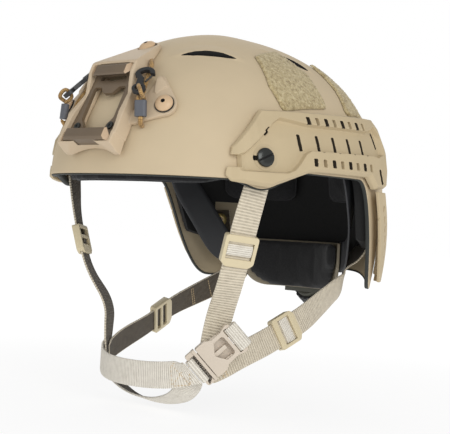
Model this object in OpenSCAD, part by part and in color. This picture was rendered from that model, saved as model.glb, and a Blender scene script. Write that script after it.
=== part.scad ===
// High cut combat helmet with front shroud, side rails, fit system and four-point harness.
// +X is the wearer's left, the brow faces -Y, +Z is up, origin in the head opening at brow height.

/* [Shell] */
// Half of the shell's width at brow height
shell_half_w = 114.5; // [111:0.5:119]
// From the origin forward to the brow
shell_front = 134; // [130:0.5:139]
// From the origin back to the nape side
shell_back = 151; // [146:0.5:156]
// Crown height over the brow line
shell_h = 119.5; // [116:0.5:124]
// Wall of the shell
shell_t = 3.2; // [2.6:0.1:3.8]
// Height of the brow edge
brow_z = 0; // [-2:0.5:2]
// Lowest point of the front lobe of the side edge
lobe_z = -6; // [-8:0.5:-4]
// Height of the ear cut
ear_z = 8; // [5:0.5:10]
// Height of the bottom of the nape corners
nape_z = -79.5; // [-84:0.5:-74]
// Height of the nape edge at the centre
nape_mid_z = -67; // [-71:0.5:-62]
// Width of a vent slot
vent_w = 5; // [4:0.5:6]

/* [Liner and pads] */
// Thickness of the impact liner
liner_t = 8; // [6:0.5:10]
// Thickness of a comfort pad at its crown
pad_t = 13; // [10:0.5:15]
// Fitting gap between a soft part and its neighbour
soft_gap = 0.6; // [0.5:0.05:0.9]

/* [Rails] */
// Height of the rail's lips over the shell
rail_h = 8.6; // [7.5:0.1:10]
// Thickness of the rail's web over the shell
web_h = 4.2; // [3.5:0.1:5]
// Count of slots in a lip
lip_slots = 8; // [6:1:9]
// Pitch of the slots in a lip
lip_pitch = 10.8; // [9.5:0.1:11]
// Radius of a rail bolt's head
bolt_r = 6.6; // [6:0.1:7]

/* [Shroud] */
// Width of the insert's lower jaw
jaw_w = 50; // [46:0.5:54]
// Height of the insert between its outer jaw edges
insert_h = 64; // [60:0.5:66]
// Lean of the shroud from upright, in degrees
shroud_tilt = 25; // [22:0.5:28]
// Radius of a shroud screw head
screw_r = 6.6; // [6:0.1:7]
// Diameter of an elastic cord
cord_d = 4; // [3.6:0.1:4.4]

/* [Harness] */
// Width of the webbing
strap_w = 20; // [18:0.5:22]
// Thickness of the webbing
strap_t = 1.6; // [1.2:0.1:1.8]
// Length of the buckle's window end
female_len = 31; // [29:0.5:34]
// Thickness of the buckle
buckle_t = 7.6; // [7:0.1:8.5]
// Length of a ladder adjuster
adjuster_len = 24; // [22:0.5:26]

/* [Fit system] */
// Inner radius of the rear cradle pad
cradle_r = 60; // [57:0.5:62]
// Thickness of the cradle pad
cradle_pad_t = 9; // [7:0.5:10]
// Radius of the dial
dial_r = 17; // [15:0.5:18]

/* [Hidden] */

// Colours as the photograph shows them
tan_shell = [0.74, 0.66, 0.52];
tan_rail = [0.72, 0.64, 0.50];
tan_shroud = [0.74, 0.63, 0.52];
brown_metal = [0.38, 0.33, 0.28];
loop_straw = [0.73, 0.68, 0.50];
webbing = [0.66, 0.63, 0.55];
webbing_dark = [0.33, 0.29, 0.25];
buckle_tan = [0.80, 0.72, 0.64];
adjuster_tan = [0.80, 0.73, 0.58];
black = [0.08, 0.08, 0.09];
dark_grey = [0.20, 0.21, 0.22];
cord_gold = [0.58, 0.44, 0.22];
steel = [0.45, 0.46, 0.46];
brass = [0.72, 0.62, 0.38];

// Shape exponents of the egg: plan, and the dome's section at front, back and side
plan_n = 2.45;
dome_front = 2.1;
dome_back = 2.2;
dome_side = 1.85;
skirt_h = 80;
skirt_tuck = 0.05;
seat = 0.4;

// Small helpers
function spow(a, p) = sign(a) * pow(abs(a), p);
function unit(v) = v / norm(v);
function mix(a, b, s) = a + (b - a) * s;
function smooth(s) = s <= 0 ? 0 : s >= 1 ? 1 : s * s * (3 - 2 * s);
function smoother(s) = s <= 0 ? 0 : s >= 1 ? 1 : s * s * s * (6 * s * s - 15 * s + 10);

// Egg surface: phi from the brow towards the wearer's left, t = 0 at the crown, 1 at brow height
function dome_m(px, front) = dome_side * px * px + (front ? dome_front : dome_back) * (1 - px * px);
function egg(phi, t, o = 0) =
  let (
    front = cos(phi) > 0,
    px = spow(sin(phi), 2 / plan_n),
    py = spow(cos(phi), 2 / plan_n),
    m = dome_m(px, front),
    k = max(t - 1, 0),
    psi = 90 * min(t, 1),
    g = pow(sin(psi), 2 / m) * (1 - skirt_tuck * k * k)
  )
  [
    (shell_half_w + o) * px * g,
    -((front ? shell_front : shell_back) + o) * py * g,
    (shell_h + o) * pow(cos(psi), 2 / m) - skirt_h * k
  ];
function egg_normal(phi, t) =
  unit(cross(egg(phi, t + 0.01) - egg(phi, t - 0.01), egg(phi + 0.5, t) - egg(phi - 0.5, t)));

// Angles [phi, t] of the surface point that lies at a given x or y and height z
function t_at(z, m) = z >= 0 ? acos(pow(z / shell_h, m / 2)) / 90 : 1 - z / skirt_h;
function gain(z, m) =
  z >= 0 ? pow(sin(90 * t_at(z, m)), 2 / m) : 1 - skirt_tuck * pow(z / skirt_h, 2);
function plan_at_x(x, z, px, i = 8) =
  i == 0 ? px : plan_at_x(x, z, min(1, abs(x) / (shell_half_w * gain(z, dome_m(px, true)))), i - 1);
function front_at(x, z) =
  let (px = plan_at_x(x, z, 0.3))
  [sign(x) * asin(pow(px, plan_n / 2)), t_at(z, dome_m(px, true))];
function plan_at_y(y, z, py, i = 8) =
  i == 0 ? py :
  plan_at_y(y, z, min(1, abs(y) / ((y < 0 ? shell_front : shell_back) *
    gain(z, dome_m(pow(1 - pow(py, plan_n), 1 / plan_n), y < 0)))), i - 1);
function side_at(y, z) =
  let (py = plan_at_y(y, z, 0.3), a = acos(pow(py, plan_n / 2)))
  [y < 0 ? a : 180 - a, t_at(z, dome_m(pow(1 - pow(py, plan_n), 1 / plan_n), y < 0))];
function on_front(x, z, o = 0) = let (a = front_at(x, z)) egg(a[0], a[1]) + o * egg_normal(a[0], a[1]);
function on_side(y, z, o = 0) = let (a = side_at(y, z)) egg(a[0], a[1]) + o * egg_normal(a[0], a[1]);
function front_normal(x, z) = let (a = front_at(x, z)) egg_normal(a[0], a[1]);
function side_normal(y, z) = let (a = side_at(y, z)) egg_normal(a[0], a[1]);

// Height of the shell's edge as a function of y, from brow to nape
lobe_y = -70;
ear_front_y = -32;
ear_back_y = 40;
nape_y = 98;
nape_run = 46;
function edge_z(y) =
  y < lobe_y - 22 ? brow_z :
  y < lobe_y ? mix(brow_z, lobe_z, smooth((y - lobe_y + 22) / 22)) :
  y < ear_front_y ? mix(lobe_z, ear_z, smooth((y - lobe_y) / (ear_front_y - lobe_y))) :
  y < ear_back_y ? ear_z :
  y < nape_y ? mix(ear_z, nape_z, smoother((y - ear_back_y) / (nape_y - ear_back_y))) :
  mix(nape_z, nape_mid_z, smooth((y - nape_y) / nape_run));
// The t of the edge in column phi, by bisection; lift raises the edge and nothing goes under the floor,
// which falls towards the nape
floor_y = 75;
floor_fall = 0.25;
function edge_t(phi, lift = 0, low = -200, lo = 0.5, hi = 2, i = 16) =
  i == 0 ? (lo + hi) / 2 :
  let (mid = (lo + hi) / 2, p = egg(phi, mid))
  p[2] > max(edge_z(p[1]) + lift, low - floor_fall * max(0, p[1] - floor_y)) ? edge_t(phi, lift, low, mid, hi, i - 1) :
  edge_t(phi, lift, low, lo, mid, i - 1);

columns = concat([for (a = [-180:6:-138]) a], [for (a = [-134:2:-98]) a], [for (a = [-96:6:96]) a],
  [for (a = [98:2:134]) a], [for (a = [138:6:174]) a]);

// Solid of revolution-like rows: rings of equal length, closed at the first and last ring
function ring_faces(rings, n) = concat(
  [[for (j = [n - 1:-1:0]) j]],
  [for (i = [0:rings - 2]) for (j = [0:n - 1]) let (k = (j + 1) % n)
    each [[i * n + j, i * n + k, (i + 1) * n + k], [i * n + j, (i + 1) * n + k, (i + 1) * n + j]]],
  [[for (j = [0:n - 1]) (rings - 1) * n + j]]
);
module rings_solid(rings) {
  n = len(rings[0]);
  polyhedron(points = [for (r = rings) each r], faces = ring_faces(len(rings), n), convexity = 10);
}

// Bowl between two offsets of the egg, its edge at lift over the shell's edge and never under the floor
module bowl(o_out, o_in, rows, cols, lift = 0, low = -200) {
  n = len(cols);
  outer = [for (i = [1:rows]) [for (a = cols) egg(a, edge_t(a, lift, low) * i / rows, o_out)]];
  inner = [for (i = [rows:-1:1]) [for (a = cols) egg(a, edge_t(a, lift, low) * i / rows, o_in)]];
  poles = [egg(0, 0, o_out), egg(0, 0, o_in)];
  pts = concat(poles, [for (r = concat(outer, inner)) each r]);
  last = 2 + (2 * rows - 1) * n;
  faces = concat(
    [for (j = [0:n - 1]) [0, 2 + (j + 1) % n, 2 + j]],
    [for (i = [0:2 * rows - 2]) for (j = [0:n - 1]) let (k = (j + 1) % n, a = 2 + i * n, b = a + n)
      each cols[j] < 0 ? [[a + j, a + k, b + j], [a + k, b + k, b + j]] :
        [[a + j, a + k, b + k], [a + j, b + k, b + j]]],
    [for (j = [0:n - 1]) [1, last + j, last + (j + 1) % n]]
  );
  polyhedron(points = pts, faces = faces, convexity = 10);
}

// Patch of the egg between two offsets, over a range of phi and t; crown > 0 rounds its edges down
function crown_at(u, v, q) = pow(1 - pow(abs(2 * u - 1), q), 1 / q) * pow(1 - pow(abs(2 * v - 1), q), 1 / q);
module patch(phi, t, o_base, o_top, nu, nv, crown = 0, slant = 0) {
  function at(i, j, top) =
    let (u = i / nu, v = j / nv, a = mix(phi[0], phi[1], u), s = mix(t[0], t[1], v) + slant * (u - 0.5),
      o = top ? o_base + (o_top - o_base) * (crown > 0 ? 0.25 + 0.75 * crown_at(u, v, crown) : 1) : o_base)
    egg(a, s, o);
  row = nv + 1;
  n = (nu + 1) * row;
  pts = [for (top = [0, 1]) for (i = [0:nu]) for (j = [0:nv]) at(i, j, top == 1)];
  flipped = o_top < o_base;
  function turn(f) = flipped ? f : [f[2], f[1], f[0]];
  faces = concat(
    [for (i = [0:nu - 1]) for (j = [0:nv - 1]) let (a = i * row + j, b = a + row)
      each [turn([a, b, a + 1]), turn([b, b + 1, a + 1]), turn([n + a, n + a + 1, n + b]),
        turn([n + b, n + a + 1, n + b + 1])]],
    [for (i = [0:nu - 1]) let (a = i * row, b = a + row)
      each [turn([a, n + b, b]), turn([a, n + a, n + b])]],
    [for (i = [0:nu - 1]) let (a = i * row + nv, b = a + row)
      each [turn([a, b, n + b]), turn([a, n + b, n + a])]],
    [for (j = [0:nv - 1]) each [turn([j, j + 1, n + j + 1]), turn([j, n + j + 1, n + j])]],
    [for (j = [0:nv - 1]) let (a = nu * row + j)
      each [turn([a, n + a + 1, a + 1]), turn([a, n + a, n + a + 1])]]
  );
  polyhedron(points = pts, faces = faces, convexity = 10);
}

// Rounded outlines: each point is [x, y, r]
function corner(a, b, c, r, n) =
  let (u = unit(a - b), w = unit(c - b), half = acos(max(-1, min(1, u * w))) / 2, d = r / tan(half),
    m = b + unit(u + w) * r / sin(half), p = b + u * d - m, q = b + w * d - m,
    a0 = atan2(p[1], p[0]), turn = atan2(p[0] * q[1] - p[1] * q[0], p * q))
  [for (i = [0:n]) m + r * [cos(a0 + turn * i / n), sin(a0 + turn * i / n)]];
function xy(p) = [p[0], p[1]];
function rounded(pts, n = 5) =
  let (k = len(pts))
  [for (i = [0:k - 1]) each pts[i][2] > 0 ?
    corner(xy(pts[(i + k - 1) % k]), xy(pts[i]), xy(pts[(i + 1) % k]), pts[i][2], n) : [xy(pts[i])]];
function both_sides(pts) = concat(pts, [for (i = [len(pts) - 1:-1:0]) [-pts[i][0], pts[i][1], pts[i][2]]]);

// Placing: z axis of the child along n at point p
module aim(p, n) {
  translate(p) rotate([0, acos(n[2] / norm(n)), atan2(n[1], n[0])]) children();
}
module side_profile(x0, x1) {
  translate([x0, 0, 0]) rotate([90, 0, 90]) linear_extrude(x1 - x0) children();
}
// Round cutter with flat sides, for pieces whose own faces are flat
module facet_round(r, z0, z1, n = 28) translate([0, 0, z0]) linear_extrude(z1 - z0)
  polygon([for (i = [0:n - 1]) r * [cos(360 * i / n), sin(360 * i / n)]]);
// Local frame of a piece on a strap: x across, y along, z out
module on_line(p, along, out) {
  y = unit(along);
  x = unit(cross(y, out));
  z = cross(x, y);
  multmatrix([[x[0], y[0], z[0], p[0]], [x[1], y[1], z[1], p[1]], [x[2], y[2], z[2], p[2]]]) children();
}

// Ribbon of webbing through [x, y, z, nx, ny, nz] points, its bends eased over a set length
bend_len = 14;
function pos(p) = [p[0], p[1], p[2]];
function nrm(p) = [p[3], p[4], p[5]];
function ease(a, v, b, n) =
  let (sa = min(0.48, bend_len / norm(pos(a) - pos(v))), sb = min(0.48, bend_len / norm(pos(b) - pos(v))),
    p = mix(v, a, sa), q = mix(v, b, sb))
  [for (i = [0:n]) let (s = i / n) (1 - s) * (1 - s) * p + 2 * s * (1 - s) * v + s * s * q];
function eased(path, n = 4) =
  concat([path[0]], [for (i = [1:len(path) - 2]) each ease(path[i - 1], path[i], path[i + 1], n)],
    [path[len(path) - 1]]);
module ribbon(path, w = strap_w, t = strap_t) {
  p = eased(path);
  k = len(p);
  rings_solid([for (i = [0:k - 1])
    let (dir = unit(pos(p[min(i + 1, k - 1)]) - pos(p[max(i - 1, 0)])), side = unit(cross(dir, nrm(p[i]))),
      up = cross(side, dir), c = pos(p[i]))
    [c - side * w / 2 - up * t / 2, c + side * w / 2 - up * t / 2, c + side * w / 2 + up * t / 2,
      c - side * w / 2 + up * t / 2]]);
}
// Round cord through points, with a fixed reference direction for its sides
module tube(path, d, ref = [1, 0, 0], sides = 8) {
  p = path;
  k = len(p);
  rings_solid([for (i = [0:k - 1])
    let (dir = unit(p[min(i + 1, k - 1)] - p[max(i - 1, 0)]), a = unit(cross(dir, ref)), b = cross(a, dir))
    [for (j = [0:sides - 1]) p[i] + d / 2 * (a * cos(360 * j / sides) + b * sin(360 * j / sides))]]);
}
function curve(p, n) =
  [for (i = [0:len(p) - 2]) for (j = [0:n - 1])
    let (a = p[max(i - 1, 0)], b = p[i], c = p[i + 1], d = p[min(i + 2, len(p) - 1)], s = j / n)
    0.5 * (2 * b + (c - a) * s + (2 * a - 5 * b + 4 * c - d) * s * s + (3 * b - a - 3 * c + d) * s * s * s),
    p[len(p) - 1]];

// Bolts through the shell: place and direction
top_screw_z = 95;
ear_x = 49.5;
ear_screw_z = 48.5;
rail_bolt_yz = [-69, 15.3];
rear_bolt_yz = [107, -29];
shank_r = 2.4;
hole_gap = 0.3;
nut_r = 6;
strap_off = -5.1;
front_nut_z = -4.3;
side_nut_z = strap_off - strap_t / 2 - 1.05;
nut_h = 3;
front_bolts = [[0, top_screw_z], [ear_x, ear_screw_z], [-ear_x, ear_screw_z]];
side_bolts = [rail_bolt_yz, rear_bolt_yz];
module bolt_holes(r, reach) {
  for (b = front_bolts) aim(on_front(b[0], b[1]), front_normal(b[0], b[1])) cylinder(r = r, h = reach, center = true, $fn = 16);
  for (b = side_bolts, s = [0, 1]) mirror([s, 0, 0])
    aim(on_side(b[0], b[1]), side_normal(b[0], b[1])) cylinder(r = r, h = reach, center = true, $fn = 16);
}

// Vent slots on the wearer's left: [phi, t] of the front and rear end
vents = [[[20, 0.445], [54.5, 0.43]], [[85, 0.325], [104, 0.42]]];
module vent_slot(v) {
  a = egg(v[0][0], v[0][1]);
  b = egg(v[1][0], v[1][1]);
  mid = (v[0] + v[1]) / 2;
  r = norm(b - a) / 2;
  on_line(egg(mid[0], mid[1]), b - a, egg_normal(mid[0], mid[1])) translate([0, 0, -12]) linear_extrude(24)
    polygon(rounded([[0, -r, 1], [vent_w / 2, -r / 3, 8], [vent_w / 2, r / 3, 8], [0, r, 1],
      [-vent_w / 2, r / 3, 8], [-vent_w / 2, -r / 3, 8]], 3));
}

module shell() color(tan_shell) difference() {
  bowl(0, -shell_t, 11, columns);
  for (v = vents, s = [0, 1]) mirror([s, 0, 0]) vent_slot(v);
  bolt_holes(shank_r + hole_gap, 12);
}

trim_gap = 0.78;
module edge_trim() color(dark_grey) {
  // L-section bead: a foot under the shell's edge and a leg up its inner face
  leg = 3.3;
  wall = 0.8;
  sec = [[0, trim_gap], [0, wall + trim_gap], [-shell_t - trim_gap - wall, wall + trim_gap],
    [-shell_t - trim_gap - wall, -leg], [-shell_t - trim_gap, -leg], [-shell_t - trim_gap, trim_gap]];
  n = len(columns);
  m = len(sec);
  rows = [for (a = columns)
    let (t = edge_t(a), p = egg(a, t), q = egg(a + 1, edge_t(a + 1)), r = egg(a - 1, edge_t(a - 1)),
      nn = egg_normal(a, min(t, 1.95)), side = cross(nn, unit(q - r)), down = unit(side) * (side[2] < 0 ? 1 : -1))
    [for (s = sec) p + nn * s[0] + down * s[1]]];
  polyhedron(points = [for (r = rows) each r], convexity = 10,
    faces = [for (i = [0:n - 1]) for (j = [0:m - 1]) let (k = (j + 1) % m, a = i * m, b = ((i + 1) % n) * m)
      each [[a + j, b + j, a + k], [a + k, b + j, b + k]]]);
}

// Facets bow inwards, so soft parts keep this much more from the wall outside them
facet_sag = 0.9;
liner_out = -shell_t - soft_gap - facet_sag;
liner_in = liner_out - liner_t;
pad_out = liner_in - soft_gap - facet_sag;
liner_lift = 13.5;
liner_low = -39;
coarse = [for (a = [-180:7.5:172.5]) a];
module impact_liner() color(black) difference() {
  bowl(liner_out, liner_in, 11, coarse, liner_lift, liner_low);
  // Room for the nuts, and for the front straps' ends
  for (b = front_bolts) aim(on_front(b[0], b[1]), front_normal(b[0], b[1])) cylinder(r = nut_r + 1, h = 40, center = true, $fn = 24);
  for (s = [0, 1]) mirror([s, 0, 0]) {
    side_profile(70, 130) polygon(rounded([[-82, -30, 0], [-56.5, -30, 0], [-56.5, 29, 6], [-82, 29, 6]], 3));
    side_profile(45, 130) polygon(rounded([[94, -70, 0], [121, -70, 0], [121, -12, 6], [94, -12, 6]], 3));
  }
}

module brow_pad() color(black) patch([-52, 52], [0.86, 1.06], pad_out, pad_out - pad_t, 18, 5, 3);
module crown_pad() color(black) {
  n = 24;
  reach = 0.36;
  dome = [for (i = [1:6]) [for (j = [0:n - 1]) egg(-360 * j / n, reach * i / 6, pad_out - pad_t * (0.25 + 0.75 * sqrt(max(0, 1 - pow(i / 6, 3)))))]];
  base = [for (i = [6:-1:1]) [for (j = [0:n - 1]) egg(-360 * j / n, reach * i / 6, pad_out)]];
  rings_solid(concat(dome, base));
}
module side_pad_left() color(black) patch([68, 106], [0.52, 0.86], pad_out - 0.25, pad_out - pad_t, 8, 8, 3);
module rear_pad_left() color(black) patch([132, 174], [0.66, 1.12], pad_out, pad_out - pad_t * 0.8, 9, 9, 3);

// Fit system
band_w = 26;
band_t = 1.6;
band_off = liner_in - facet_sag - 2.5 - band_t / 2;
cradle_y = 55;
cradle_top = -44;
cradle_low = -86;
frame_gap = 0.4;
frame_t = 2.4;
// The ring spans this much to either side of the nape, in degrees
cradle_span = 54;
function arc(r, a0, a1, n = 20) = [for (i = [0:n]) let (a = mix(a0, a1, i / n)) [r * sin(a), cradle_y + r * cos(a)]];
module cradle_ring(r_in, r_out) intersection() {
  translate([0, 0, cradle_low]) linear_extrude(cradle_top - cradle_low)
    polygon(concat(arc(r_out, cradle_span, -cradle_span), arc(r_in, -cradle_span, cradle_span)));
  side_profile(-100, 100) polygon(rounded([[80, cradle_top - 2, 0], [80, -64, 0], [98, -65, 8], [112, cradle_low - 0.5, 14],
    [140, cradle_low - 0.5, 0], [140, cradle_top + 0.5, 0], [104, cradle_top + 0.5, 10]]));
}
frame_r = cradle_r + cradle_pad_t + frame_gap;
module cradle_frame() color(buckle_tan) cradle_ring(frame_r, frame_r + frame_t);
module cradle_pad() color(black) cradle_ring(cradle_r, frame_r - frame_gap);
// Headband: from the liner above the ear down and round to the ring's outer face
band_r = frame_r + frame_t + 0.6 + band_t / 2;
function on_ring(a, z, r) = [r * sin(a), cradle_y + r * cos(a), z, sin(a), cos(a), 0];
band_left = [
  on_wall(57, 24, band_off), on_wall(62, 6, band_off), [82, 77, -25, 0.9, 0.4, 0.1], [69.5, 90, -53, 0.8, 0.6, 0],
  on_ring(53, -56, band_r), on_ring(42, -56, band_r)
];
dial_pos = [0, cradle_y + frame_r + frame_t + 7.5, -80];
dial_tilt = 35;
module at_dial() translate(dial_pos) rotate([90 + 90 - dial_tilt + 90, 0, 0]) children();
module dial_housing() color(dark_grey) {
  difference() {
    union() {
      translate([-22, cradle_y + frame_r + frame_t + frame_gap, -90]) cube([44, 4, 21.5]);
      translate([0, 0, -0.5]) at_dial() cylinder(r = dial_r - 3, h = 4, $fn = 64);
    }
    at_dial() translate([0, 0, -12]) cylinder(r = 3.05, h = 20, $fn = 40);
    translate([0, cradle_y, -102]) cylinder(r = frame_r + frame_t + frame_gap, h = 60, $fn = 96);
  }
}
module dial_knob() color(black) at_dial() translate([0, 0, 4.6]) difference() {
  union() {
    cylinder(r = dial_r, h = 8, $fn = 64);
    translate([0, 0, 8]) cylinder(r1 = dial_r - 0.01, r2 = dial_r - 3, h = 2, $fn = 64);
  }
  for (a = [0:20:340]) rotate(a) translate([dial_r + 1.2, 0, -1]) cylinder(r = 2.2, h = 12, $fn = 24);
  translate([0, 0, -1]) cylinder(r = 3, h = 6, $fn = 40);
}
module dial_spindle() color(steel) at_dial() translate([0, 0, -2]) cylinder(r = 3, h = 11.6, $fn = 40);

// Shroud, in a frame leaning back with the brow: x across, y up, z out
shroud_mid = [0, -136, 52.5];
module at_shroud() translate(shroud_mid) rotate([90 - shroud_tilt, 0, 0]) children();
jaw_h = 8.5;
plate_t = 3;
plate_z = -9.5;
half = insert_h / 2;
top_w = jaw_w - 8;
window_w = 17;
module insert_outline(g = 0) {
  polygon(rounded(both_sides([[jaw_w / 2 + g, -half - g, 1], [jaw_w / 2 - 0.5 + g, -half + 16, 3], [top_w / 2 - 0.5 + g, half - 20, 3],
    [top_w / 2 - 1 + g, half - 10, 1], [top_w / 2 + g, half + g, 1]]), 4));
}
module shroud_insert() color(brown_metal) at_shroud() {
  difference() {
    intersection() {
      translate([0, 0, plate_z]) linear_extrude(20) insert_outline();
      union() {
      translate([0, 0, plate_z]) linear_extrude(plate_t) insert_outline();
      // Upper jaw with an undercut lip
      translate([-top_w / 2, 0, 0]) rotate([90, 0, 90]) linear_extrude(top_w)
        polygon([[half - 4, plate_z], [half, plate_z], [half, -1.5], [half - 2, 0], [half - jaw_h, 0], [half - jaw_h - 1, -1], [half - 4, -4]]);
      // Lower jaw
      translate([-jaw_w / 2, 0, 0]) rotate([90, 0, 90]) linear_extrude(jaw_w)
        polygon([[-half, plate_z], [-half + 4, plate_z], [-half + 4, -4], [-half + jaw_h + 1, -1], [-half + jaw_h, 0], [-half + 2, 0], [-half, -1.5]]);
      }
    }
    // Window with a tongue hanging into it from above
    translate([0, 0, plate_z - 1]) linear_extrude(plate_t + 2)
      polygon(rounded([[-window_w, half - 16.5, 2], [-window_w, -half + 21, 3], [-12, -half + 15, 2], [-12, -half + 8.5, 1],
        [12, -half + 8.5, 1], [12, -half + 15, 2], [window_w, -half + 21, 3], [window_w, half - 16.5, 2], [9.5, half - 16.5, 2],
        [4.5, half - 22, 2], [-4.5, half - 22, 2], [-9.5, half - 16.5, 2]], 4));
    translate([0, 0, plate_z - 1]) linear_extrude(plate_t + 2)
      polygon(rounded([[-13, half - 6.5, 1], [-14.5, half - 11, 2], [-5, half - 10.5, 2], [0, half - 12, 2], [5, half - 10.5, 2], [14.5, half - 11, 2], [13, half - 6.5, 1]], 3));
    for (s = [-1, 1]) translate([s * 17.5, -half + 14, plate_z - 1]) cylinder(r = 1.5, h = plate_t + 2, $fn = 24);
    // Bevelled jaw ends
    for (s = [-1, 1]) translate([s * (top_w / 2 + 4), half - 4, 0]) rotate([0, 0, s * 22]) cube([8, 24, 7.5], center = true);
  }
}
module insert_screws() color(black) at_shroud() for (s = [-1, 1]) translate([s * 17.5, -half + 14, plate_z]) difference() {
  union() {
    translate([0, 0, plate_t + 0.05]) cylinder(r = 2.9, h = 1.2, $fn = 32);
    translate([0, 0, -2.5]) cylinder(r = 1.3, h = plate_t + 3, $fn = 32);
  }
  translate([0, 0, plate_t + 0.5]) cylinder(r = 1.2, h = 2, $fn = 6);
}
module pin_at(p, n, r, h) aim(p, n) cylinder(r = r, h = h, $fn = 14);
module body_block(x0, x1, y0, y1, z0, z1) translate([x0, y0, z0]) cube([x1 - x0, y1 - y0, z1 - z0]);
module shroud_body() color(tan_shroud) {
  n_top = front_normal(0, top_screw_z);
  boss = 3.6;
  difference() {
    union() {
      // Lower beam with its feet
      hull() {
        at_shroud() body_block(-28, 28, -half - 1.5, -half + 8, plate_z - 6, -2.5);
        at_shroud() body_block(-28, 28, -half - 4.5, -half - 2.5, plate_z - 7, -12);
      }
      // Side walls, stepped in above the screw bosses
      for (s = [-1, 1]) {
        hull() {
          at_shroud() body_block(s * 25 - 4, s * 25 + 4, -half + 6, -half + 24, plate_z - 6, -3);
          at_shroud() body_block(s * 20.5 - 4, s * 20.5 + 4, half - 24, half - 20, plate_z - 5, -7);
        }
        hull() {
          at_shroud() body_block(s * 20.5 - 4, s * 20.5 + 4, half - 24, half - 20, plate_z - 5, -7);
          at_shroud() body_block(s * 19.5 - 4, s * 19.5 + 4, half - 6, half + 2, plate_z - 6, -1);
        }
        // Ear: a flat web out to the side screw, with a rib
        hull() {
          pin_at(on_front(s * ear_x, ear_screw_z), front_normal(s * ear_x, ear_screw_z), 9, boss);
          pin_at(on_front(s * 38, 68), front_normal(s * 38, 68), 2.5, boss);
          pin_at(on_front(s * 30, 38), front_normal(s * 30, 38), 4, boss);
        }
        hull() {
          pin_at(on_front(s * 37.5, 66.5), front_normal(s * 37.5, 66.5), 2, boss + 2.6);
          pin_at(on_front(s * 43.5, 62), front_normal(s * 43.5, 62), 2, boss + 1.2);
          pin_at(on_front(s * 39.5, 58), front_normal(s * 39.5, 58), 1.6, boss + 0.6);
        }
      }
      // Hub: from the upper wall back to the crown screw
      hull() {
        at_shroud() body_block(-23, 23, half + 1, half + 3, plate_z - 4, -1.5);
        pin_at(on_front(0, top_screw_z), n_top, 10, boss);
        pin_at(on_front(9, top_screw_z - 8), n_top, 4, boss);
        pin_at(on_front(-9, top_screw_z - 8), n_top, 4, boss);
      }
    }
    // Pocket for the insert, open window behind it
    at_shroud() translate([0, 0, plate_z - 0.2]) linear_extrude(40) insert_outline(0.3);
    at_shroud() translate([0, 0, plate_z - 20]) linear_extrude(21) polygon(rounded(both_sides([[17, -half + 20, 3], [17, half - 10, 3]]), 3));
    at_shroud() translate([-10, -half + 8.5, plate_z - 20]) cube([20, 20, 21]);
    // Arch between the feet
    at_shroud() translate([0, -half - 52, -40]) cylinder(r = 52.6, h = 60, $fn = 160);
    for (s = [-1, 1]) at_shroud() translate([s * 17.5, -half + 14, plate_z - 4]) cylinder(r = 1.6, h = 6, $fn = 12);
    bolt_holes(shank_r + hole_gap, 40);
    // Flat seats under the washers
    for (b = front_bolts) aim(on_front(b[0], b[1]), front_normal(b[0], b[1]))
      translate([0, 0, screw_seat - 0.1]) cylinder(r = screw_r + 1.1, h = 20, $fn = 32);
    hull() egg_core(seat);
    for (s = [-1, 1]) cord_cuts(s);
  }
}
// The egg itself as a cutter, brow to crown
module egg_core(o) rings_solid([for (i = [1:22]) [for (a = [0:5:355]) egg(-a, 1.02 * i / 22 + 0.003, o)]]);
screw_seat = 3.8;
module shroud_screws() color(tan_shroud) for (b = front_bolts)
  aim(on_front(b[0], b[1]), front_normal(b[0], b[1])) difference() {
    union() {
      translate([0, 0, screw_seat + 0.9]) cylinder(r = screw_r, h = 1, $fn = 48);
      translate([0, 0, screw_seat + 1.85]) intersection() {
        translate([0, 0, -screw_r * 1.1]) sphere(r = screw_r * 1.49, $fn = 48);
        cylinder(r = screw_r - 0.02, h = 6, $fn = 48);
      }
      translate([0, 0, front_nut_z - nut_h - 0.3]) cylinder(r = shank_r, h = screw_seat - front_nut_z + nut_h + 1.3, $fn = 32);
    }
    translate([0, 0, screw_seat + 2.6]) cylinder(r = 1.6, h = 6, $fn = 6);
  }
module screw_washers() color(black) for (b = front_bolts)
  aim(on_front(b[0], b[1]), front_normal(b[0], b[1])) translate([0, 0, screw_seat]) difference() {
    cylinder(r = screw_r + 0.7, h = 0.85, $fn = 48);
    translate([0, 0, -1]) cylinder(r = shank_r + hole_gap, h = 4, $fn = 32);
  }

// Elastic cord, sleeve and hook on the wearer's left
cord_top = [22, -104, 84.5];
cord_low = [38, -126.5, 34];
cord_mid = [34.8, -125.6, 47.8];
strand_path = [cord_top, [25.2, -107, 81.5], [27.2, -110, 77], [28.6, -113.2, 72], [30, -117, 66.5], [31.3, -119.9, 61],
  [33.8, -124.1, 53.5], cord_mid];
eye_pos = [37, -130.5, 60];
// Sleeve over both legs of the loop, with the cord's end under it
sleeve_top = [40.2, -131, 51.6];
sleeve_low = [41.2, -131.4, 40];
low_path = [[41.26, -131.42, 39.3], [41.3, -131.4, 38.4], [39.8, -129.6, 35.6], cord_low];
// The loop through the hook's eye, in the hook's frame: across, along, out
loop_d = 3;
loop_path = [[-0.42, -7.2, -4.5], [-0.4, -6.3, -3.8], [-0.6, -4.2, -4], [-0.3, -1, -3.6], [0, 0.3, -1.4], [0, 0.3, 1.4],
  [0.6, -1, 3.7], [1.9, -4.4, 3.7], [3, -7.2, 1.6], [4, -6.2, -3.3], [3.98, -7, -4]];
module cord_cuts(s) for (p = [cord_top, cord_low, cord_mid])
  translate([s * p[0], p[1], p[2]]) sphere(r = cord_d / 2 + 0.8, $fn = 12);
module bungee_left() color(cord_gold) {
  tube(curve(strand_path, 2), cord_d);
  tube(curve(low_path, 2), cord_d);
  at_hook() tube(curve(loop_path, 2), loop_d, [0.9, 0.3, 0.2]);
}
hook_dir = unit([26, -116, 77.5] - eye_pos);
hook_out = unit([0.45, -0.75, 0.45]);
module at_hook() on_line(eye_pos, hook_dir, hook_out) children();
hook_t = 3.2;
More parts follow.
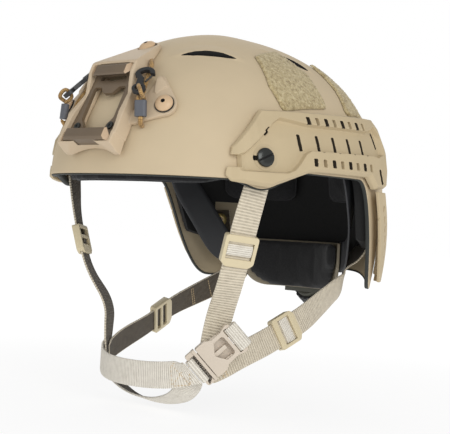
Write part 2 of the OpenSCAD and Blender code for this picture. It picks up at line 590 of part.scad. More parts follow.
module hook_left() color(black) at_hook() {
  translate([0, 0, -hook_t / 2]) linear_extrude(hook_t) difference() {
    union() {
      circle(r = 5, $fn = 40);
      polygon([[-2.6, 3], [2.6, 3], [2.4, 12], [-2.2, 12]]);
      translate([2.6, 17]) difference() {
        circle(r = 7.2, $fn = 48);
        circle(r = 3.8, $fn = 48);
        polygon([[0, 0], [-20, -6], [-20, -20], [20, -20], [20, -3]]);
      }
      polygon([[-4.6, 17.4], [-1.2, 17.6], [2.4, 11.2], [-2.2, 11.2]]);
    }
    circle(r = 2.7, $fn = 40);
  }
}
module gate_left() color(dark_grey) at_hook() translate([0, 0, -0.6]) linear_extrude(1.2)
  polygon([[3.1, 8.2], [4.1, 7.9], [8.2, 14.4], [7.5, 15.3]]);
module sleeve_left() color(dark_grey) on_line((sleeve_top + sleeve_low) / 2, sleeve_top - sleeve_low, [0.5, -0.85, 0.1])
  rotate([90, 0, 0]) linear_extrude(norm(sleeve_top - sleeve_low), center = true)
    polygon(rounded([[-4.4, -2.7, 2.2], [4.4, -2.7, 2.2], [4.4, 2.7, 2.2], [-4.4, 2.7, 2.2]], 4));

// Side rails: sections across the rail at stations along y, each point a height and an offset
rail_stations = [-95, -92, -90.5, -88, -84, -80, -74, -67, -60, -54, -48, -42, -36, -30, -20, -8, 4, 16, 28, 38, 46, 52, 57, 64, 71, 76, 80, 84];
rail_low = [[-95, 1.5], [-92, -2.4], [-68, -5.4], [-45, 3], [-28, 8.4], [46, 9], [57, 0.5], [76, 2], [80, 12], [84, 28]];
rail_high = [[-95, 4], [-90.5, 22], [-67, 48], [-34, 50], [71, 55.5], [80, 49], [84, 32]];
lip_low = [[-95, 3], [-88, 4.5], [-54, 5], [-46, 8], [-36, 19], [-30, 21.8], [54, 24.8], [64, 24], [84, 30]];
lip_high = [[-95, 4], [-84, 17], [-56, 43], [-28, 40.5], [54, 43.3], [73, 49.5], [84, 31]];
rail_lead = 12;
lip_slope = 0.8;
edge_relief = 2;
function rail_section(y) =
  let (z0 = lookup(y, rail_low), z3 = max(lookup(y, rail_high), z0 + 2), open = z3 - z0 > 16 && y > -87 && y < 79,
    z1 = mix(z0, z3, 0.3), z2 = mix(z0, z3, 0.7), a = open ? lookup(y, lip_low) : z1, b = open ? lookup(y, lip_high) : z2,
    o = mix(3, rail_h, smooth((y + 95) / rail_lead)), w = open ? web_h : o, e = min(3, (z3 - z0) / 5, (o - edge_relief) * 0.7),
    r = min(6, (z3 - z0) * 0.3), g = y < -91 ? edge_relief : seat, slope = min(lip_slope, (b - a) / 4))
  concat(
    [[z0, edge_relief], [z0, o - e], [z0 + e * 0.8, o], [a, o], [a + slope, w], [mix(a, b, 0.33), w], [mix(a, b, 0.66), w],
      [b - slope, w], [b, o], [z3 - e * 0.7, o], [z3, o - e]],
    [for (i = [0:4]) [mix(z3, z0 + r, i / 4), g]],
    [[z0 + r - 0.2, edge_relief]]
  );
module slot_cut(y, z, w, h, lean = 0) translate([90, y, z]) rotate([lean, 0, 0]) translate([0, -w / 2, -h / 2]) cube([50, w, h]);
module rail_left() color(tan_rail) difference() {
  rings_solid([for (y = rail_stations) [for (q = rail_section(y)) on_side(y, q[0], q[1])]]);
  for (i = [0:lip_slots - 1]) {
    slot_cut(lip_pitch * i - 27.7, 46.2 + 0.4 * i, 4.2, 5.6);
    slot_cut(lip_pitch * i - 27.7, 15.4 + 0.2 * i, 4.2, 5.6);
  }
  for (i = [0:4]) slot_cut(-38 + 20.3 * i, 29 + 0.75 * i, 3.2, 12, 3);
  // Notch in the front edge, square window, bolt pocket with its key slot, and the two rear loops
  slot_cut(-93, 12, 10.2, 8.6);
  slot_cut(-68, 34.8, 4.8, 4.8, 40);
  slot_cut(-77.6, 15, 4, 3.2);
  slot_cut(72.5, 40, 3.6, 13, 12);
  slot_cut(67.5, 11, 4.2, 12, 16);
  aim(on_side(rail_bolt_yz[0], rail_bolt_yz[1]), side_normal(rail_bolt_yz[0], rail_bolt_yz[1])) {
    facet_round(bolt_r + 3.2, 3.2, 17.2);
    facet_round(shank_r + hole_gap, -15, 15, 16);
  }
}
// Leg of the rail down the nape lobe: sections across it at stations in z, standing off on its rear wall
leg_stations = [-73, -67.7, -67.5, -66, -58, -50, -42, -34, -26, -18, -12, -6, -1];
leg_in = [[-73, 90], [-70, 87], [-57, 79.5], [-40, 73], [-20, 66], [-1, 58]];
leg_back = [[-73, 103], [-69, 106], [-58, 103.5], [-30, 92], [-1, 76.5]];
leg_plate = 2.6;
leg_wall = 4.5;
leg_clear = 0.4;
function leg_section(z) =
  let (a = lookup(z, leg_in), b = lookup(z, leg_back), h = rail_h - leg_clear, g = z < -67.6 ? edge_relief : seat)
  [[a, h - leg_plate], [b - leg_wall, h - leg_plate], [b - leg_wall, g], [b, g], [b, h - 1.5], [b - 1.8, h], [mix(a, b, 0.4), h], [a, h]];
module rear_rail_left() color(tan_rail) difference() {
  rings_solid([for (z = leg_stations) [for (q = leg_section(z)) on_side(q[0], z, q[1])]]);
  for (i = [0:6]) slot_cut(lookup(-14 - 8 * i, leg_back) - 7, -14 - 8 * i, 2.6, 5);
  for (i = [0:2]) slot_cut(lookup(-24 - 17 * i, leg_in), -24 - 17 * i, 3, 5);
}
module rail_bolts() color(steel) for (s = [0, 1]) mirror([s, 0, 0]) {
  aim(on_side(rail_bolt_yz[0], rail_bolt_yz[1]), side_normal(rail_bolt_yz[0], rail_bolt_yz[1])) difference() {
    union() {
      translate([0, 0, 3.5]) cylinder(r = bolt_r, h = 1.6, $fn = 48);
      translate([0, 0, 5.05]) cylinder(r1 = bolt_r - 0.01, r2 = bolt_r - 1.2, h = 1, $fn = 48);
      translate([0, 0, side_nut_z - nut_h - 0.3]) cylinder(r = shank_r, h = 3.9 - side_nut_z + nut_h, $fn = 32);
    }
    rotate(25) translate([-0.8, -20, 4.8]) cube([1.6, 40, 3]);
  }
  // Flat head under the rear leg's plate
  aim(on_side(rear_bolt_yz[0], rear_bolt_yz[1]), side_normal(rear_bolt_yz[0], rear_bolt_yz[1])) {
    translate([0, 0, seat]) cylinder(r = bolt_r - 1, h = 2, $fn = 48);
    translate([0, 0, side_nut_z - nut_h - 0.3]) cylinder(r = shank_r, h = 1 + seat - side_nut_z + nut_h, $fn = 32);
  }
}
module anchor_nut() difference() {
  union() {
    translate([0, 0, -1.4]) cylinder(r = nut_r, h = 1.4, $fn = 40);
    translate([0, 0, -nut_h]) cylinder(r = 4.4, h = nut_h - 1.39, $fn = 6);
  }
  translate([0, 0, -8]) cylinder(r = shank_r + 0.05, h = 10, $fn = 32);
}
module anchor_nuts() color(brass) {
  for (s = [0, 1]) mirror([s, 0, 0]) for (b = side_bolts)
    aim(on_side(b[0], b[1]), side_normal(b[0], b[1])) translate([0, 0, side_nut_z]) anchor_nut();
  for (b = front_bolts) aim(on_front(b[0], b[1]), front_normal(b[0], b[1])) translate([0, 0, front_nut_z]) anchor_nut();
}

// Loop panels: outlines seen square on at 45 degrees to the side
module lean_profile(h) rotate([0, -45, 0]) rotate([90, 0, 90]) linear_extrude(h) children();
panel_t = 2;
side_panel = [[-34, 24, 3], [2, 38, 3], [16, 8, 3], [14, -26, 4], [-42, -33, 4], [-44, -10, 4]];
rear_panel = [[51, 38, 3], [60, 36, 3], [72, 6, 6], [72, -22, 4], [42, -27, 4], [50, 0, 4]];
module side_layer() patch([56, 128], [0.26, 0.76], seat, seat + panel_t, 12, 9);
module loop_side_left() color(loop_straw) intersection() {
  side_layer();
  lean_profile(200) polygon(rounded(side_panel, 3));
}
module loop_rear_left() color(loop_straw) intersection() {
  side_layer();
  lean_profile(200) polygon(rounded(rear_panel, 3));
}

// Harness on the wearer's left; every point is x, y, z and the webbing's outward direction
adj_front = [[91, -69, -30], [77.5, -66, -73]];
adj_front_out = [0.84, -0.52, -0.14];
adj_rear = [[66, -6, -122], [70.5, 33, -105]];
adj_rear_out = [0.93, -0.25, 0.2];
function with_out(p, n) = concat(p, n);
function on_wall(y, z, o) = with_out(on_side(y, z, o), side_normal(y, z));
// Buckle frame: u across, v from the male end to the tab, w out of the face
buckle_mid = [64.5, -61.5, -127.5];
buckle_out = [0.75, -0.66, 0];
buckle_dir = [0.482, 0.548, 0.682];
function by_buckle(u, v, w) =
  let (y = unit(buckle_dir), x = unit(cross(y, buckle_out)), z = cross(x, y)) buckle_mid + u * x + v * y + w * z;
front_path = [
  on_wall(-69, 22, strap_off), on_wall(-69, 6, strap_off - 0.4), on_wall(-69.5, -4, strap_off - 2.2),
  with_out(adj_front[0], adj_front_out), with_out(adj_front[1], adj_front_out),
  with_out([58.9, -56.3, -102], [0.76, -0.65, 0]), with_out([56.6, -59, -124], buckle_out),
  with_out(by_buckle(10, -15, -7.6), buckle_out)
];
strap_r = band_r + band_t / 2 + 0.7 + strap_t / 2;
rear_path = [
  on_wall(107, -20, strap_off), on_wall(107.5, -46, strap_off - 0.8), on_ring(50, -60, strap_r), on_ring(50, -77, strap_r + 0.8),
  with_out(adj_rear[1], adj_rear_out), with_out(adj_rear[0], adj_rear_out),
  with_out([63, -36, -132], [0.85, -0.5, 0]), with_out([60.1, -51.3, -138.5], buckle_out),
  with_out([54, -59.3, -143], buckle_out)
];
chin_upper_path = [
  with_out(by_buckle(-3.5, -28.5, 1.6), buckle_out), with_out([28, -89, -147.5], [0.25, -0.97, 0]), with_out([0, -93, -148], [0, -1, 0]),
  with_out([-30, -87, -147], [-0.3, -0.95, 0]), with_out([-53.5, -69, -142.5], [-0.7, -0.7, 0]), with_out([-61.6, -57, -140.4], [-0.8, -0.6, 0])
];
chin_lower_path = [
  with_out(by_buckle(4, -28.6, -2.2), buckle_out), with_out([43, -72, -159], [0.5, -0.5, -0.7]), with_out([30, -68, -166.5], [0.3, -0.35, -0.88]), with_out([10, -67, -171], [0.1, -0.25, -0.96]),
  with_out([-18, -66.5, -169.5], [-0.15, -0.3, -0.95]), with_out([-42, -65, -159], [-0.55, -0.3, -0.8]), with_out([-48.9, -67.8, -147.8], [-0.7, -0.65, -0.2])
];
module strap_with_eye(path, b) difference() {
  ribbon(path);
  aim(on_side(b[0], b[1]), side_normal(b[0], b[1])) cylinder(r = shank_r + hole_gap, h = 24, center = true, $fn = 24);
}
module front_strap_left() color(webbing) strap_with_eye(front_path, rail_bolt_yz);
module rear_strap_left() color(webbing_dark) strap_with_eye(rear_path, rear_bolt_yz);
module chin_strap_upper() color(webbing) ribbon(chin_upper_path);
module chin_strap_lower() color(webbing_dark) ribbon(chin_lower_path);

// Ladder adjuster round the strap: window in front, bar behind
adj_wall = 2.2;
adj_gap = 0.4;
adj_t = strap_t + 2 * adj_gap + 3.6;
module adjuster(seg, out, at = 0.5) on_line(mix(seg[0], seg[1], at), seg[1] - seg[0], out) {
  w = strap_w + 2 * adj_gap + 2 * adj_wall;
  difference() {
    translate([0, 0, -adj_t / 2]) linear_extrude(adj_t)
      polygon(rounded([[-w / 2, -adjuster_len / 2, 2], [w / 2, -adjuster_len / 2, 2], [w / 2, adjuster_len / 2 - 3, 3],
        [w / 2 - 4, adjuster_len / 2, 3], [-w / 2 + 4, adjuster_len / 2, 3], [-w / 2, adjuster_len / 2 - 3, 3]]));
    cube([strap_w + 2 * adj_gap, adjuster_len + 2, strap_t + 2 * adj_gap], center = true);
    translate([-strap_w / 2, -adjuster_len / 2 + 5, 0]) cube([strap_w, adjuster_len - 11, adj_t]);
    for (s = [0, 1]) translate([-strap_w / 2, s * 8 - adjuster_len / 2 + 3, -adj_t]) cube([strap_w, 5.5, adj_t]);
  }
}

// Buckle: x across, y from the male end to the tab, z out of the face
module at_buckle() on_line(buckle_mid, buckle_dir, buckle_out) children();
female_w = 27;
wall = 1.7;
module female_outline() polygon(rounded([[-female_w / 2, -12, 1.5], [female_w / 2, -12, 1.5], [female_w / 2, -3, 2], [female_w / 2 - 2.8, 1, 3],
  [female_w / 2 - 2.8, 10, 3], [female_w / 2 - 0.6, female_len - 14, 3], [female_w / 2 - 3, female_len - 12, 2.5], [-female_w / 2 + 3, female_len - 12, 2.5],
  [-female_w / 2 + 0.6, female_len - 14, 3], [-female_w / 2 + 2.8, 10, 3], [-female_w / 2 + 2.8, 1, 3], [-female_w / 2, -3, 2]]));
module buckle_female() color(buckle_tan) at_buckle() difference() {
  translate([0, 0, -buckle_t / 2]) linear_extrude(buckle_t) female_outline();
  // Mouth for the prongs and guide
  translate([-female_w / 2 + wall, -13, -buckle_t / 2 + wall]) cube([female_w - 2 * wall, 23.5, buckle_t - 2 * wall]);
  // Window over the prongs, through the face
  translate([0, 0, -1]) linear_extrude(buckle_t) polygon(rounded([[-8, 10, 2.5], [8, 10, 2.5], [8, 1.5, 1], [0, -4, 2], [-8, 1.5, 1]]));
  // Side openings where the prongs are pressed
  for (s = [-1, 1]) translate([s * (female_w / 2 - 1.4) - 3, 0, -buckle_t / 2 + wall]) cube([6, 10, buckle_t - 2 * wall]);
  // Bar slot for the sewn tab, and room behind the bar
  translate([-10.5, 12.5, -buckle_t]) cube([21, 2.6, 2 * buckle_t]);
  translate([-10.5, 12.5, -buckle_t]) cube([21, 12, buckle_t - 2]);
}
module webbing_loop(outer, inner) translate([-10, 0, 0]) rotate([90, 0, 90]) linear_extrude(20) difference() {
  polygon(rounded([[outer[0], outer[1], 1.2], [outer[0], outer[3], 1.2], [outer[2], outer[3], 1.2], [outer[2], outer[1], 1.2]]));
  polygon([[inner[0], inner[1]], [inner[0], inner[3]], [inner[2], inner[3]], [inner[2], inner[1]]]);
}
module female_tab() color(webbing) at_buckle() webbing_loop([12.9, -3.9, 24, 5.7], [14.6, -2.3, 20, 4.1]);
module male_tab() color(webbing) at_buckle() webbing_loop([-23.4, -4.5, -17.1, 4.5], [-21.8, -2.9, -18.7, 2.9]);
prong_x = 8.2;
male_t = 5.2;
module buckle_male() color(buckle_tan) at_buckle() difference() {
  union() {
    // Cross bar with strap slot
    translate([0, 0, -male_t / 2]) linear_extrude(male_t) polygon(rounded([[-14, -21.5, 2], [14, -21.5, 2], [14, -12.6, 1], [-14, -12.6, 1]]));
    // Shoulder against the mouth
    translate([-14, -15, -buckle_t / 2]) cube([28, 2.4, buckle_t]);
    // Centre guide
    translate([-1.6, -12.7, -1.6]) cube([3.2, 20, 3.2]);
  }
  translate([-10.5, -19, -buckle_t]) cube([21, 3.8, 2 * buckle_t]);
  for (s = [-1, 1]) translate([s * prong_x - 2.2, -13.6, -1.9]) cube([4.4, 4, 3.8]);
}
// Pressed prongs: they flex about their roots
module prong() translate([0, 0, -1.6]) linear_extrude(3.2)
  polygon(rounded([[prong_x - 1.6, -13.4, 0], [prong_x + 1.6, -13.4, 0], [prong_x + 1.8, -2, 1], [prong_x + 3.6, 1, 1], [prong_x + 3.2, 7, 2.5], [prong_x - 0.8, 8.6, 1.5], [prong_x - 1.4, 0, 1]]));
module prong_upper() color(buckle_tan) at_buckle() mirror([1, 0, 0]) prong();
module prong_lower() color(buckle_tan) at_buckle() prong();

module mirrored() mirror([1, 0, 0]) children();

shell();
edge_trim();
impact_liner();
brow_pad();
crown_pad();
side_pad_left();
mirrored() side_pad_left();  // side_pad_right
rear_pad_left();
mirrored() rear_pad_left();  // rear_pad_right
color(dark_grey) ribbon(band_left, band_w, band_t);  // headband_left
color(dark_grey) mirrored() ribbon(band_left, band_w, band_t);  // headband_right
cradle_frame();
cradle_pad();
dial_housing();
dial_knob();
dial_spindle();
shroud_body();
shroud_insert();
shroud_screws();
screw_washers();
insert_screws();
bungee_left();
mirrored() bungee_left();  // bungee_right
sleeve_left();
mirrored() sleeve_left();  // sleeve_right
hook_left();
mirrored() hook_left();  // hook_right
gate_left();
mirrored() gate_left();  // gate_right
rail_left();
mirrored() rail_left();  // rail_right
rail_bolts();
rear_rail_left();
mirrored() rear_rail_left();  // rear_rail_right
loop_side_left();
mirrored() loop_side_left();  // loop_side_right
loop_rear_left();
mirrored() loop_rear_left();  // loop_rear_right
anchor_nuts();
front_strap_left();
mirrored() front_strap_left();  // front_strap_right
rear_strap_left();
mirrored() rear_strap_left();  // rear_strap_right
chin_strap_upper();
chin_strap_lower();
color(adjuster_tan) adjuster(adj_front, adj_front_out);  // adjuster_front_left
color(adjuster_tan) mirrored() adjuster(adj_front, adj_front_out);  // adjuster_front_right
color(adjuster_tan) adjuster(adj_rear, adj_rear_out);  // adjuster_rear_left
color(adjuster_tan) mirrored() adjuster(adj_rear, adj_rear_out);  // adjuster_rear_right
buckle_female();
female_tab();
buckle_male();
male_tab();
prong_upper();
prong_lower();
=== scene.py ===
"""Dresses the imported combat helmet: shell, rails, shroud, pads, webbing, cords and fittings."""

import math
from contextlib import contextmanager

import bmesh
import bpy
import numpy as np
from mathutils import Matrix, Vector
from mathutils.bvhtree import BVHTree


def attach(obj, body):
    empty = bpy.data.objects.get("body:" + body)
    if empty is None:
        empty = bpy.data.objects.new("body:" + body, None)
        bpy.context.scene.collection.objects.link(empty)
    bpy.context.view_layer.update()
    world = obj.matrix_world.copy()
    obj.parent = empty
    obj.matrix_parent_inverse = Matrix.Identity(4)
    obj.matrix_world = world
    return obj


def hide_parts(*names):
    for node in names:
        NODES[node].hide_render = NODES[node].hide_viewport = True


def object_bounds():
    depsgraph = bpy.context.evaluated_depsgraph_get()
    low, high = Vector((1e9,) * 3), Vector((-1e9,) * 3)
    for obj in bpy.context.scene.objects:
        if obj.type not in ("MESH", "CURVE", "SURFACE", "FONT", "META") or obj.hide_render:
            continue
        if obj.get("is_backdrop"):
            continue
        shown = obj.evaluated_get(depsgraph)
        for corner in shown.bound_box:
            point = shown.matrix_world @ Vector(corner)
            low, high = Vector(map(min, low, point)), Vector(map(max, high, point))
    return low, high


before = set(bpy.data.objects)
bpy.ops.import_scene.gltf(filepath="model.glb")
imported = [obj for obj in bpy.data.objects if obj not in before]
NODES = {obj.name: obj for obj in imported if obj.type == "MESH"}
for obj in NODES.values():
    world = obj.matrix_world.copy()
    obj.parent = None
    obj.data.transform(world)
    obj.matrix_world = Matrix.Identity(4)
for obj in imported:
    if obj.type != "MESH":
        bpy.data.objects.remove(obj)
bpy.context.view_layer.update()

MM = 0.001
SCENE = bpy.context.scene


# Camera: fitted to the photograph, aimed at the middle of its frame
CAMERA_AT = (0.60193, -0.68278, -0.03320)
CAMERA_RIGHT = (0.755369, 0.653290, 0.051285)
CAMERA_UP = (-0.034200, -0.038854, 0.998659)
CAMERA_BACK = (0.654407, -0.756110, -0.007007)
CAMERA_LENS = 88.926

camera_data = bpy.data.cameras.new("camera")
camera_data.lens = CAMERA_LENS
camera_data.sensor_width = 36.0
camera = bpy.data.objects.new("camera", camera_data)
rows = Matrix([CAMERA_RIGHT, CAMERA_UP, CAMERA_BACK]).transposed().to_4x4()
rows.translation = Vector(CAMERA_AT)
camera.matrix_world = rows
SCENE.collection.objects.link(camera)
SCENE.camera = camera


# Small helpers
SIDES = (("left", 1), ("right", -1))
WELD = 0.00002


def unit(v):
    v = np.asarray(v, float)
    return v / np.maximum(np.linalg.norm(v, axis=-1, keepdims=True), 1e-12)


def mix(a, b, s):
    return a + (b - a) * s


def smooth(s):
    s = np.clip(s, 0, 1)
    return s * s * (3 - 2 * s)


def flip(points, s):
    """The points, mirrored to the wearer's right where s is -1."""
    return np.asarray(points, float) * (s, 1, 1)


def place(at, f, x, y, z):
    """The point x, y, z of frame f, which starts at a point."""
    return np.asarray(at) + x * f[0] + y * f[1] + z * f[2]


def quads(n_rows, n_cols, ring=True, loop=False, down=False):
    """Faces over rows of points: a ring joins each row's ends, a loop joins the last row to the first."""
    out = []
    for i in range(n_rows if loop else n_rows - 1):
        a, b = i * n_cols, (i + 1) % n_rows * n_cols
        for j in range(n_cols if ring else n_cols - 1):
            k = (j + 1) % n_cols
            out.append((a + j, b + j, b + k, a + k) if down else (a + j, a + k, b + k, b + j))
    return out


def end_faces(n_rows, n_cols):
    """The two faces that close a tube of rings."""
    return [tuple(range(n_cols - 1, -1, -1)), tuple((n_rows - 1) * n_cols + j for j in range(n_cols))]


def shade_smooth(mesh):
    mesh.polygons.foreach_set("use_smooth", [True] * len(mesh.polygons))


def make(name, verts, faces, mats, body="helmet", uv=None, s=1):
    """A mesh piece from points in millimetres, mirrored where s is -1; it rides on the body."""
    mesh = bpy.data.meshes.new(name)
    mesh.from_pydata((flip(verts, s) * MM).tolist(), [], [list(map(int, f))[::s] for f in faces])
    mesh.update()
    if uv is not None:
        layer = mesh.uv_layers.new(name="Lay")
        loops = np.zeros(len(mesh.loops), np.int32)
        mesh.loops.foreach_get("vertex_index", loops)
        layer.data.foreach_set("uv", np.asarray(uv, np.float32)[loops].ravel())
    obj = bpy.data.objects.new(name, mesh)
    SCENE.collection.objects.link(obj)
    shade_smooth(mesh)
    for mat in mats if isinstance(mats, tuple) else (mats,):
        mesh.materials.append(mat)
    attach(obj, body)
    return obj


def dress(obj, node_name=None):
    """Hides the CAD node that the piece replaces."""
    if node_name:
        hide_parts(node_name)


@contextmanager
def edited(obj):
    """The piece's mesh for editing, written back at the end."""
    bm = bmesh.new()
    bm.from_mesh(obj.data)
    yield bm
    bm.to_mesh(obj.data)
    bm.free()


def face_out(obj):
    with edited(obj) as bm:
        bmesh.ops.recalc_face_normals(bm, faces=bm.faces)


def drop_loose(bm):
    bmesh.ops.delete(bm, geom=[v for v in bm.verts if not v.link_faces], context="VERTS")


def apply_modifiers(obj):
    """Bakes the modifiers into the mesh."""
    graph = bpy.context.evaluated_depsgraph_get()
    bpy.context.view_layer.update()
    done = bpy.data.meshes.new_from_object(obj.evaluated_get(graph))
    old = obj.data
    obj.modifiers.clear()
    obj.data = done
    bpy.data.meshes.remove(old)


def modify(obj, name, kind, **values):
    """Adds a modifier with these settings."""
    modifier = obj.modifiers.new(name, kind)
    for key, value in values.items():
        setattr(modifier, key, value)


def smooth_by_angle(obj, degrees=35):
    """Smooth shading, with edges sharper than the angle kept crisp."""
    shade_smooth(obj.data)
    limit = math.radians(degrees)
    with edited(obj) as bm:
        for e in bm.edges:
            e.smooth = not (len(e.link_faces) == 2 and e.calc_face_angle(0) > limit)


def copy_of(node_name, name, mat, body="helmet"):
    """A free copy of a CAD node's mesh, its points welded and its flat faces joined."""
    mesh = NODES[node_name].data.copy()
    mesh.name = name
    mesh.materials.clear()
    mesh.materials.append(mat)
    obj = bpy.data.objects.new(name, mesh)
    SCENE.collection.objects.link(obj)
    with edited(obj) as bm:
        bmesh.ops.remove_doubles(bm, verts=bm.verts, dist=WELD)
        bmesh.ops.dissolve_limit(bm, angle_limit=math.radians(0.6), verts=bm.verts, edges=bm.edges)
    mesh.update()
    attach(obj, body)
    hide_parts(node_name)
    return obj


def round_edges(obj, width, segments):
    modify(obj, "edges", "BEVEL", width=width * MM, segments=segments, limit_method="ANGLE",
           angle_limit=math.radians(28), use_clamp_overlap=True)
    apply_modifiers(obj)
    smooth_by_angle(obj)


def bevelled(node_name, name, mat, slot, body="helmet", width=0.2, segments=2):
    """The CAD node with its sharp edges rounded over."""
    obj = copy_of(node_name, name, mat, body)
    round_edges(obj, width, segments)


def moulded(node_name, name, mat, body="helmet", voxel=0.45, rounds=3, ratio=0.35):
    """The CAD node remeshed finely and eased, as moulded plastic with small radii everywhere."""
    obj = copy_of(node_name, name, mat, body)
    modify(obj, "remesh", "REMESH", mode="VOXEL", voxel_size=voxel * MM, adaptivity=0)
    modify(obj, "relax", "SMOOTH", factor=0.5, iterations=rounds)
    modify(obj, "fewer", "DECIMATE", ratio=ratio)
    apply_modifiers(obj)
    shade_smooth(obj.data)
    return obj


# Egg surface of the shell, as in the part's source
SHELL_HALF_W = 114.5
SHELL_FRONT = 134.0
SHELL_BACK = 151.0
SHELL_H = 119.5
SHELL_T = 3.2
PLAN_N = 2.45
DOME_FRONT = 2.1
DOME_BACK = 2.2
DOME_SIDE = 1.85
SKIRT_H = 80.0
SKIRT_TUCK = 0.05
BROW_Z = 0.0
LOBE_Z = -6.0
EAR_Z = 8.0
NAPE_Z = -79.5
NAPE_MID_Z = -67.0
LOBE_Y = -70.0
EAR_FRONT_Y = -32.0
EAR_BACK_Y = 40.0
NAPE_Y = 98.0
NAPE_RUN = 46.0
FLOOR_Y = 75.0
FLOOR_FALL = 0.25


def spow(a, p):
    return np.sign(a) * np.abs(a) ** p


def egg(phi, t, o=0.0):
    phi, t, o = np.broadcast_arrays(np.asarray(phi, float), np.asarray(t, float), np.asarray(o, float))
    c = np.cos(np.radians(phi))
    s = np.sin(np.radians(phi))
    px = spow(s, 2 / PLAN_N)
    py = spow(c, 2 / PLAN_N)
    front = c > 0
    m = DOME_SIDE * px * px + np.where(front, DOME_FRONT, DOME_BACK) * (1 - px * px)
    k = np.maximum(t - 1, 0)
    psi = math.pi / 2 * np.minimum(t, 1)
    g = np.sin(psi) ** (2 / m) * (1 - SKIRT_TUCK * k * k)
    x = (SHELL_HALF_W + o) * px * g
    y = -(np.where(front, SHELL_FRONT, SHELL_BACK) + o) * py * g
    z = (SHELL_H + o) * np.clip(np.cos(psi), 0, 1) ** (2 / m) - SKIRT_H * k
    return np.stack([x, y, z], -1)


def egg_normal(phi, t):
    t = np.maximum(t, 0.012)
    a = egg(phi, t + 0.01) - egg(phi, t - 0.01)
    b = egg(np.asarray(phi) + 0.5, t) - egg(np.asarray(phi) - 0.5, t)
    return unit(np.cross(a, b))


def edge_z(y):
    y = np.asarray(y, float)
    lobe = mix(BROW_Z, LOBE_Z, smooth((y - LOBE_Y + 22) / 22))
    rise = mix(LOBE_Z, EAR_Z, smooth((y - LOBE_Y) / (EAR_FRONT_Y - LOBE_Y)))
    s = np.clip((y - EAR_BACK_Y) / (NAPE_Y - EAR_BACK_Y), 0, 1)
    fall = mix(EAR_Z, NAPE_Z, s * s * s * (6 * s * s - 15 * s + 10))
    nape = mix(NAPE_Z, NAPE_MID_Z, smooth((y - NAPE_Y) / NAPE_RUN))
    return np.select([y < LOBE_Y - 22, y < LOBE_Y, y < EAR_FRONT_Y, y < EAR_BACK_Y, y < NAPE_Y],
                     [BROW_Z, lobe, rise, EAR_Z, fall], nape)


def edge_t(phi, lift=0.0, low=-200.0):
    phi = np.asarray(phi, float)
    lo = np.full(phi.shape, 0.5)
    hi = np.full(phi.shape, 2.0)
    for _ in range(22):
        mid = (lo + hi) / 2
        p = egg(phi, mid)
        floor = low - FLOOR_FALL * np.maximum(0, p[..., 1] - FLOOR_Y)
        above = p[..., 2] > np.maximum(edge_z(p[..., 1]) + lift, floor)
        lo = np.where(above, mid, lo)
        hi = np.where(above, hi, mid)
    return (lo + hi) / 2


def even_phis(count, lift=0.0, low=-200.0):
    """Angles whose points are evenly spaced along the edge."""
    dense = np.linspace(-180, 180, 4001)
    p = egg(dense, edge_t(dense, lift, low))
    q = egg(dense, 0.8)
    run = np.linalg.norm(np.diff(p, axis=0), axis=1) + np.linalg.norm(np.diff(q, axis=0), axis=1)
    run = np.concatenate([[0], np.cumsum(run)])
    return np.interp(np.linspace(0, run[-1], count, endpoint=False), run, dense)


def t_at(z, m):
    z = np.asarray(z, float)
    return np.where(z >= 0, np.degrees(np.arccos(np.clip(np.maximum(z, 0) / SHELL_H, 0, 1) ** (m / 2))) / 90,
                    1 - z / SKIRT_H)


def gain(z, m):
    above = np.sin(math.pi / 2 * np.clip(t_at(z, m), 0, 1)) ** (2 / m)
    return np.where(z >= 0, above, 1 - SKIRT_TUCK * (z / SKIRT_H) ** 2)


def side_at(y, z):
    """Angles of the surface point at this y and z, on the wearer's left."""
    y, z = np.broadcast_arrays(np.asarray(y, float), np.asarray(z, float))
    py = np.full(y.shape, 0.3)
    reach = np.where(y < 0, SHELL_FRONT, SHELL_BACK)
    dome = np.where(y < 0, DOME_FRONT, DOME_BACK)
    for _ in range(9):
        px = (1 - py ** PLAN_N) ** (1 / PLAN_N)
        m = DOME_SIDE * px * px + dome * (1 - px * px)
        py = np.minimum(1, np.abs(y) / (reach * gain(z, m)))
    px = (1 - py ** PLAN_N) ** (1 / PLAN_N)
    m = DOME_SIDE * px * px + dome * (1 - px * px)
    a = np.degrees(np.arccos(py ** (PLAN_N / 2)))
    return np.where(y < 0, a, 180 - a), t_at(z, m)


def front_at(x, z):
    """Angles of the surface point at this x and z, on the brow's side."""
    x, z = np.broadcast_arrays(np.asarray(x, float), np.asarray(z, float))
    px = np.full(x.shape, 0.3)
    for _ in range(9):
        m = DOME_SIDE * px * px + DOME_FRONT * (1 - px * px)
        px = np.minimum(1, np.abs(x) / (SHELL_HALF_W * gain(z, m)))
    m = DOME_SIDE * px * px + DOME_FRONT * (1 - px * px)
    return np.sign(x) * np.degrees(np.arcsin(px ** (PLAN_N / 2))), t_at(z, m)


def on_side(y, z, o=0.0):
    phi, t = side_at(y, z)
    return egg(phi, t) + np.asarray(o, float)[..., None] * egg_normal(phi, t)


def on_front(x, z, o=0.0):
    phi, t = front_at(x, z)
    return egg(phi, t) + np.asarray(o, float)[..., None] * egg_normal(phi, t)


def side_normal(y, z):
    return egg_normal(*side_at(y, z))


def front_normal(x, z):
    return egg_normal(*front_at(x, z))


# Material helpers
def srgb(r, g, b):
    """Linear colour of a display colour given from 0 to 255."""
    def one(c):
        c = c / 255
        return c / 12.92 if c <= 0.04045 else ((c + 0.055) / 1.055) ** 2.4

    return (one(r), one(g), one(b), 1.0)


def tint(colour, k):
    return (min(1, colour[0] * k), min(1, colour[1] * k), min(1, colour[2] * k), 1.0)


def node(tree, kind, **values):
    """A node with its settings, and with its sockets' numbers by name."""
    n = tree.nodes.new(kind)
    for key, value in values.items():
        if hasattr(n, key):
            setattr(n, key, value)
        else:
            n.inputs[key.replace("_", " ")].default_value = value
    return n


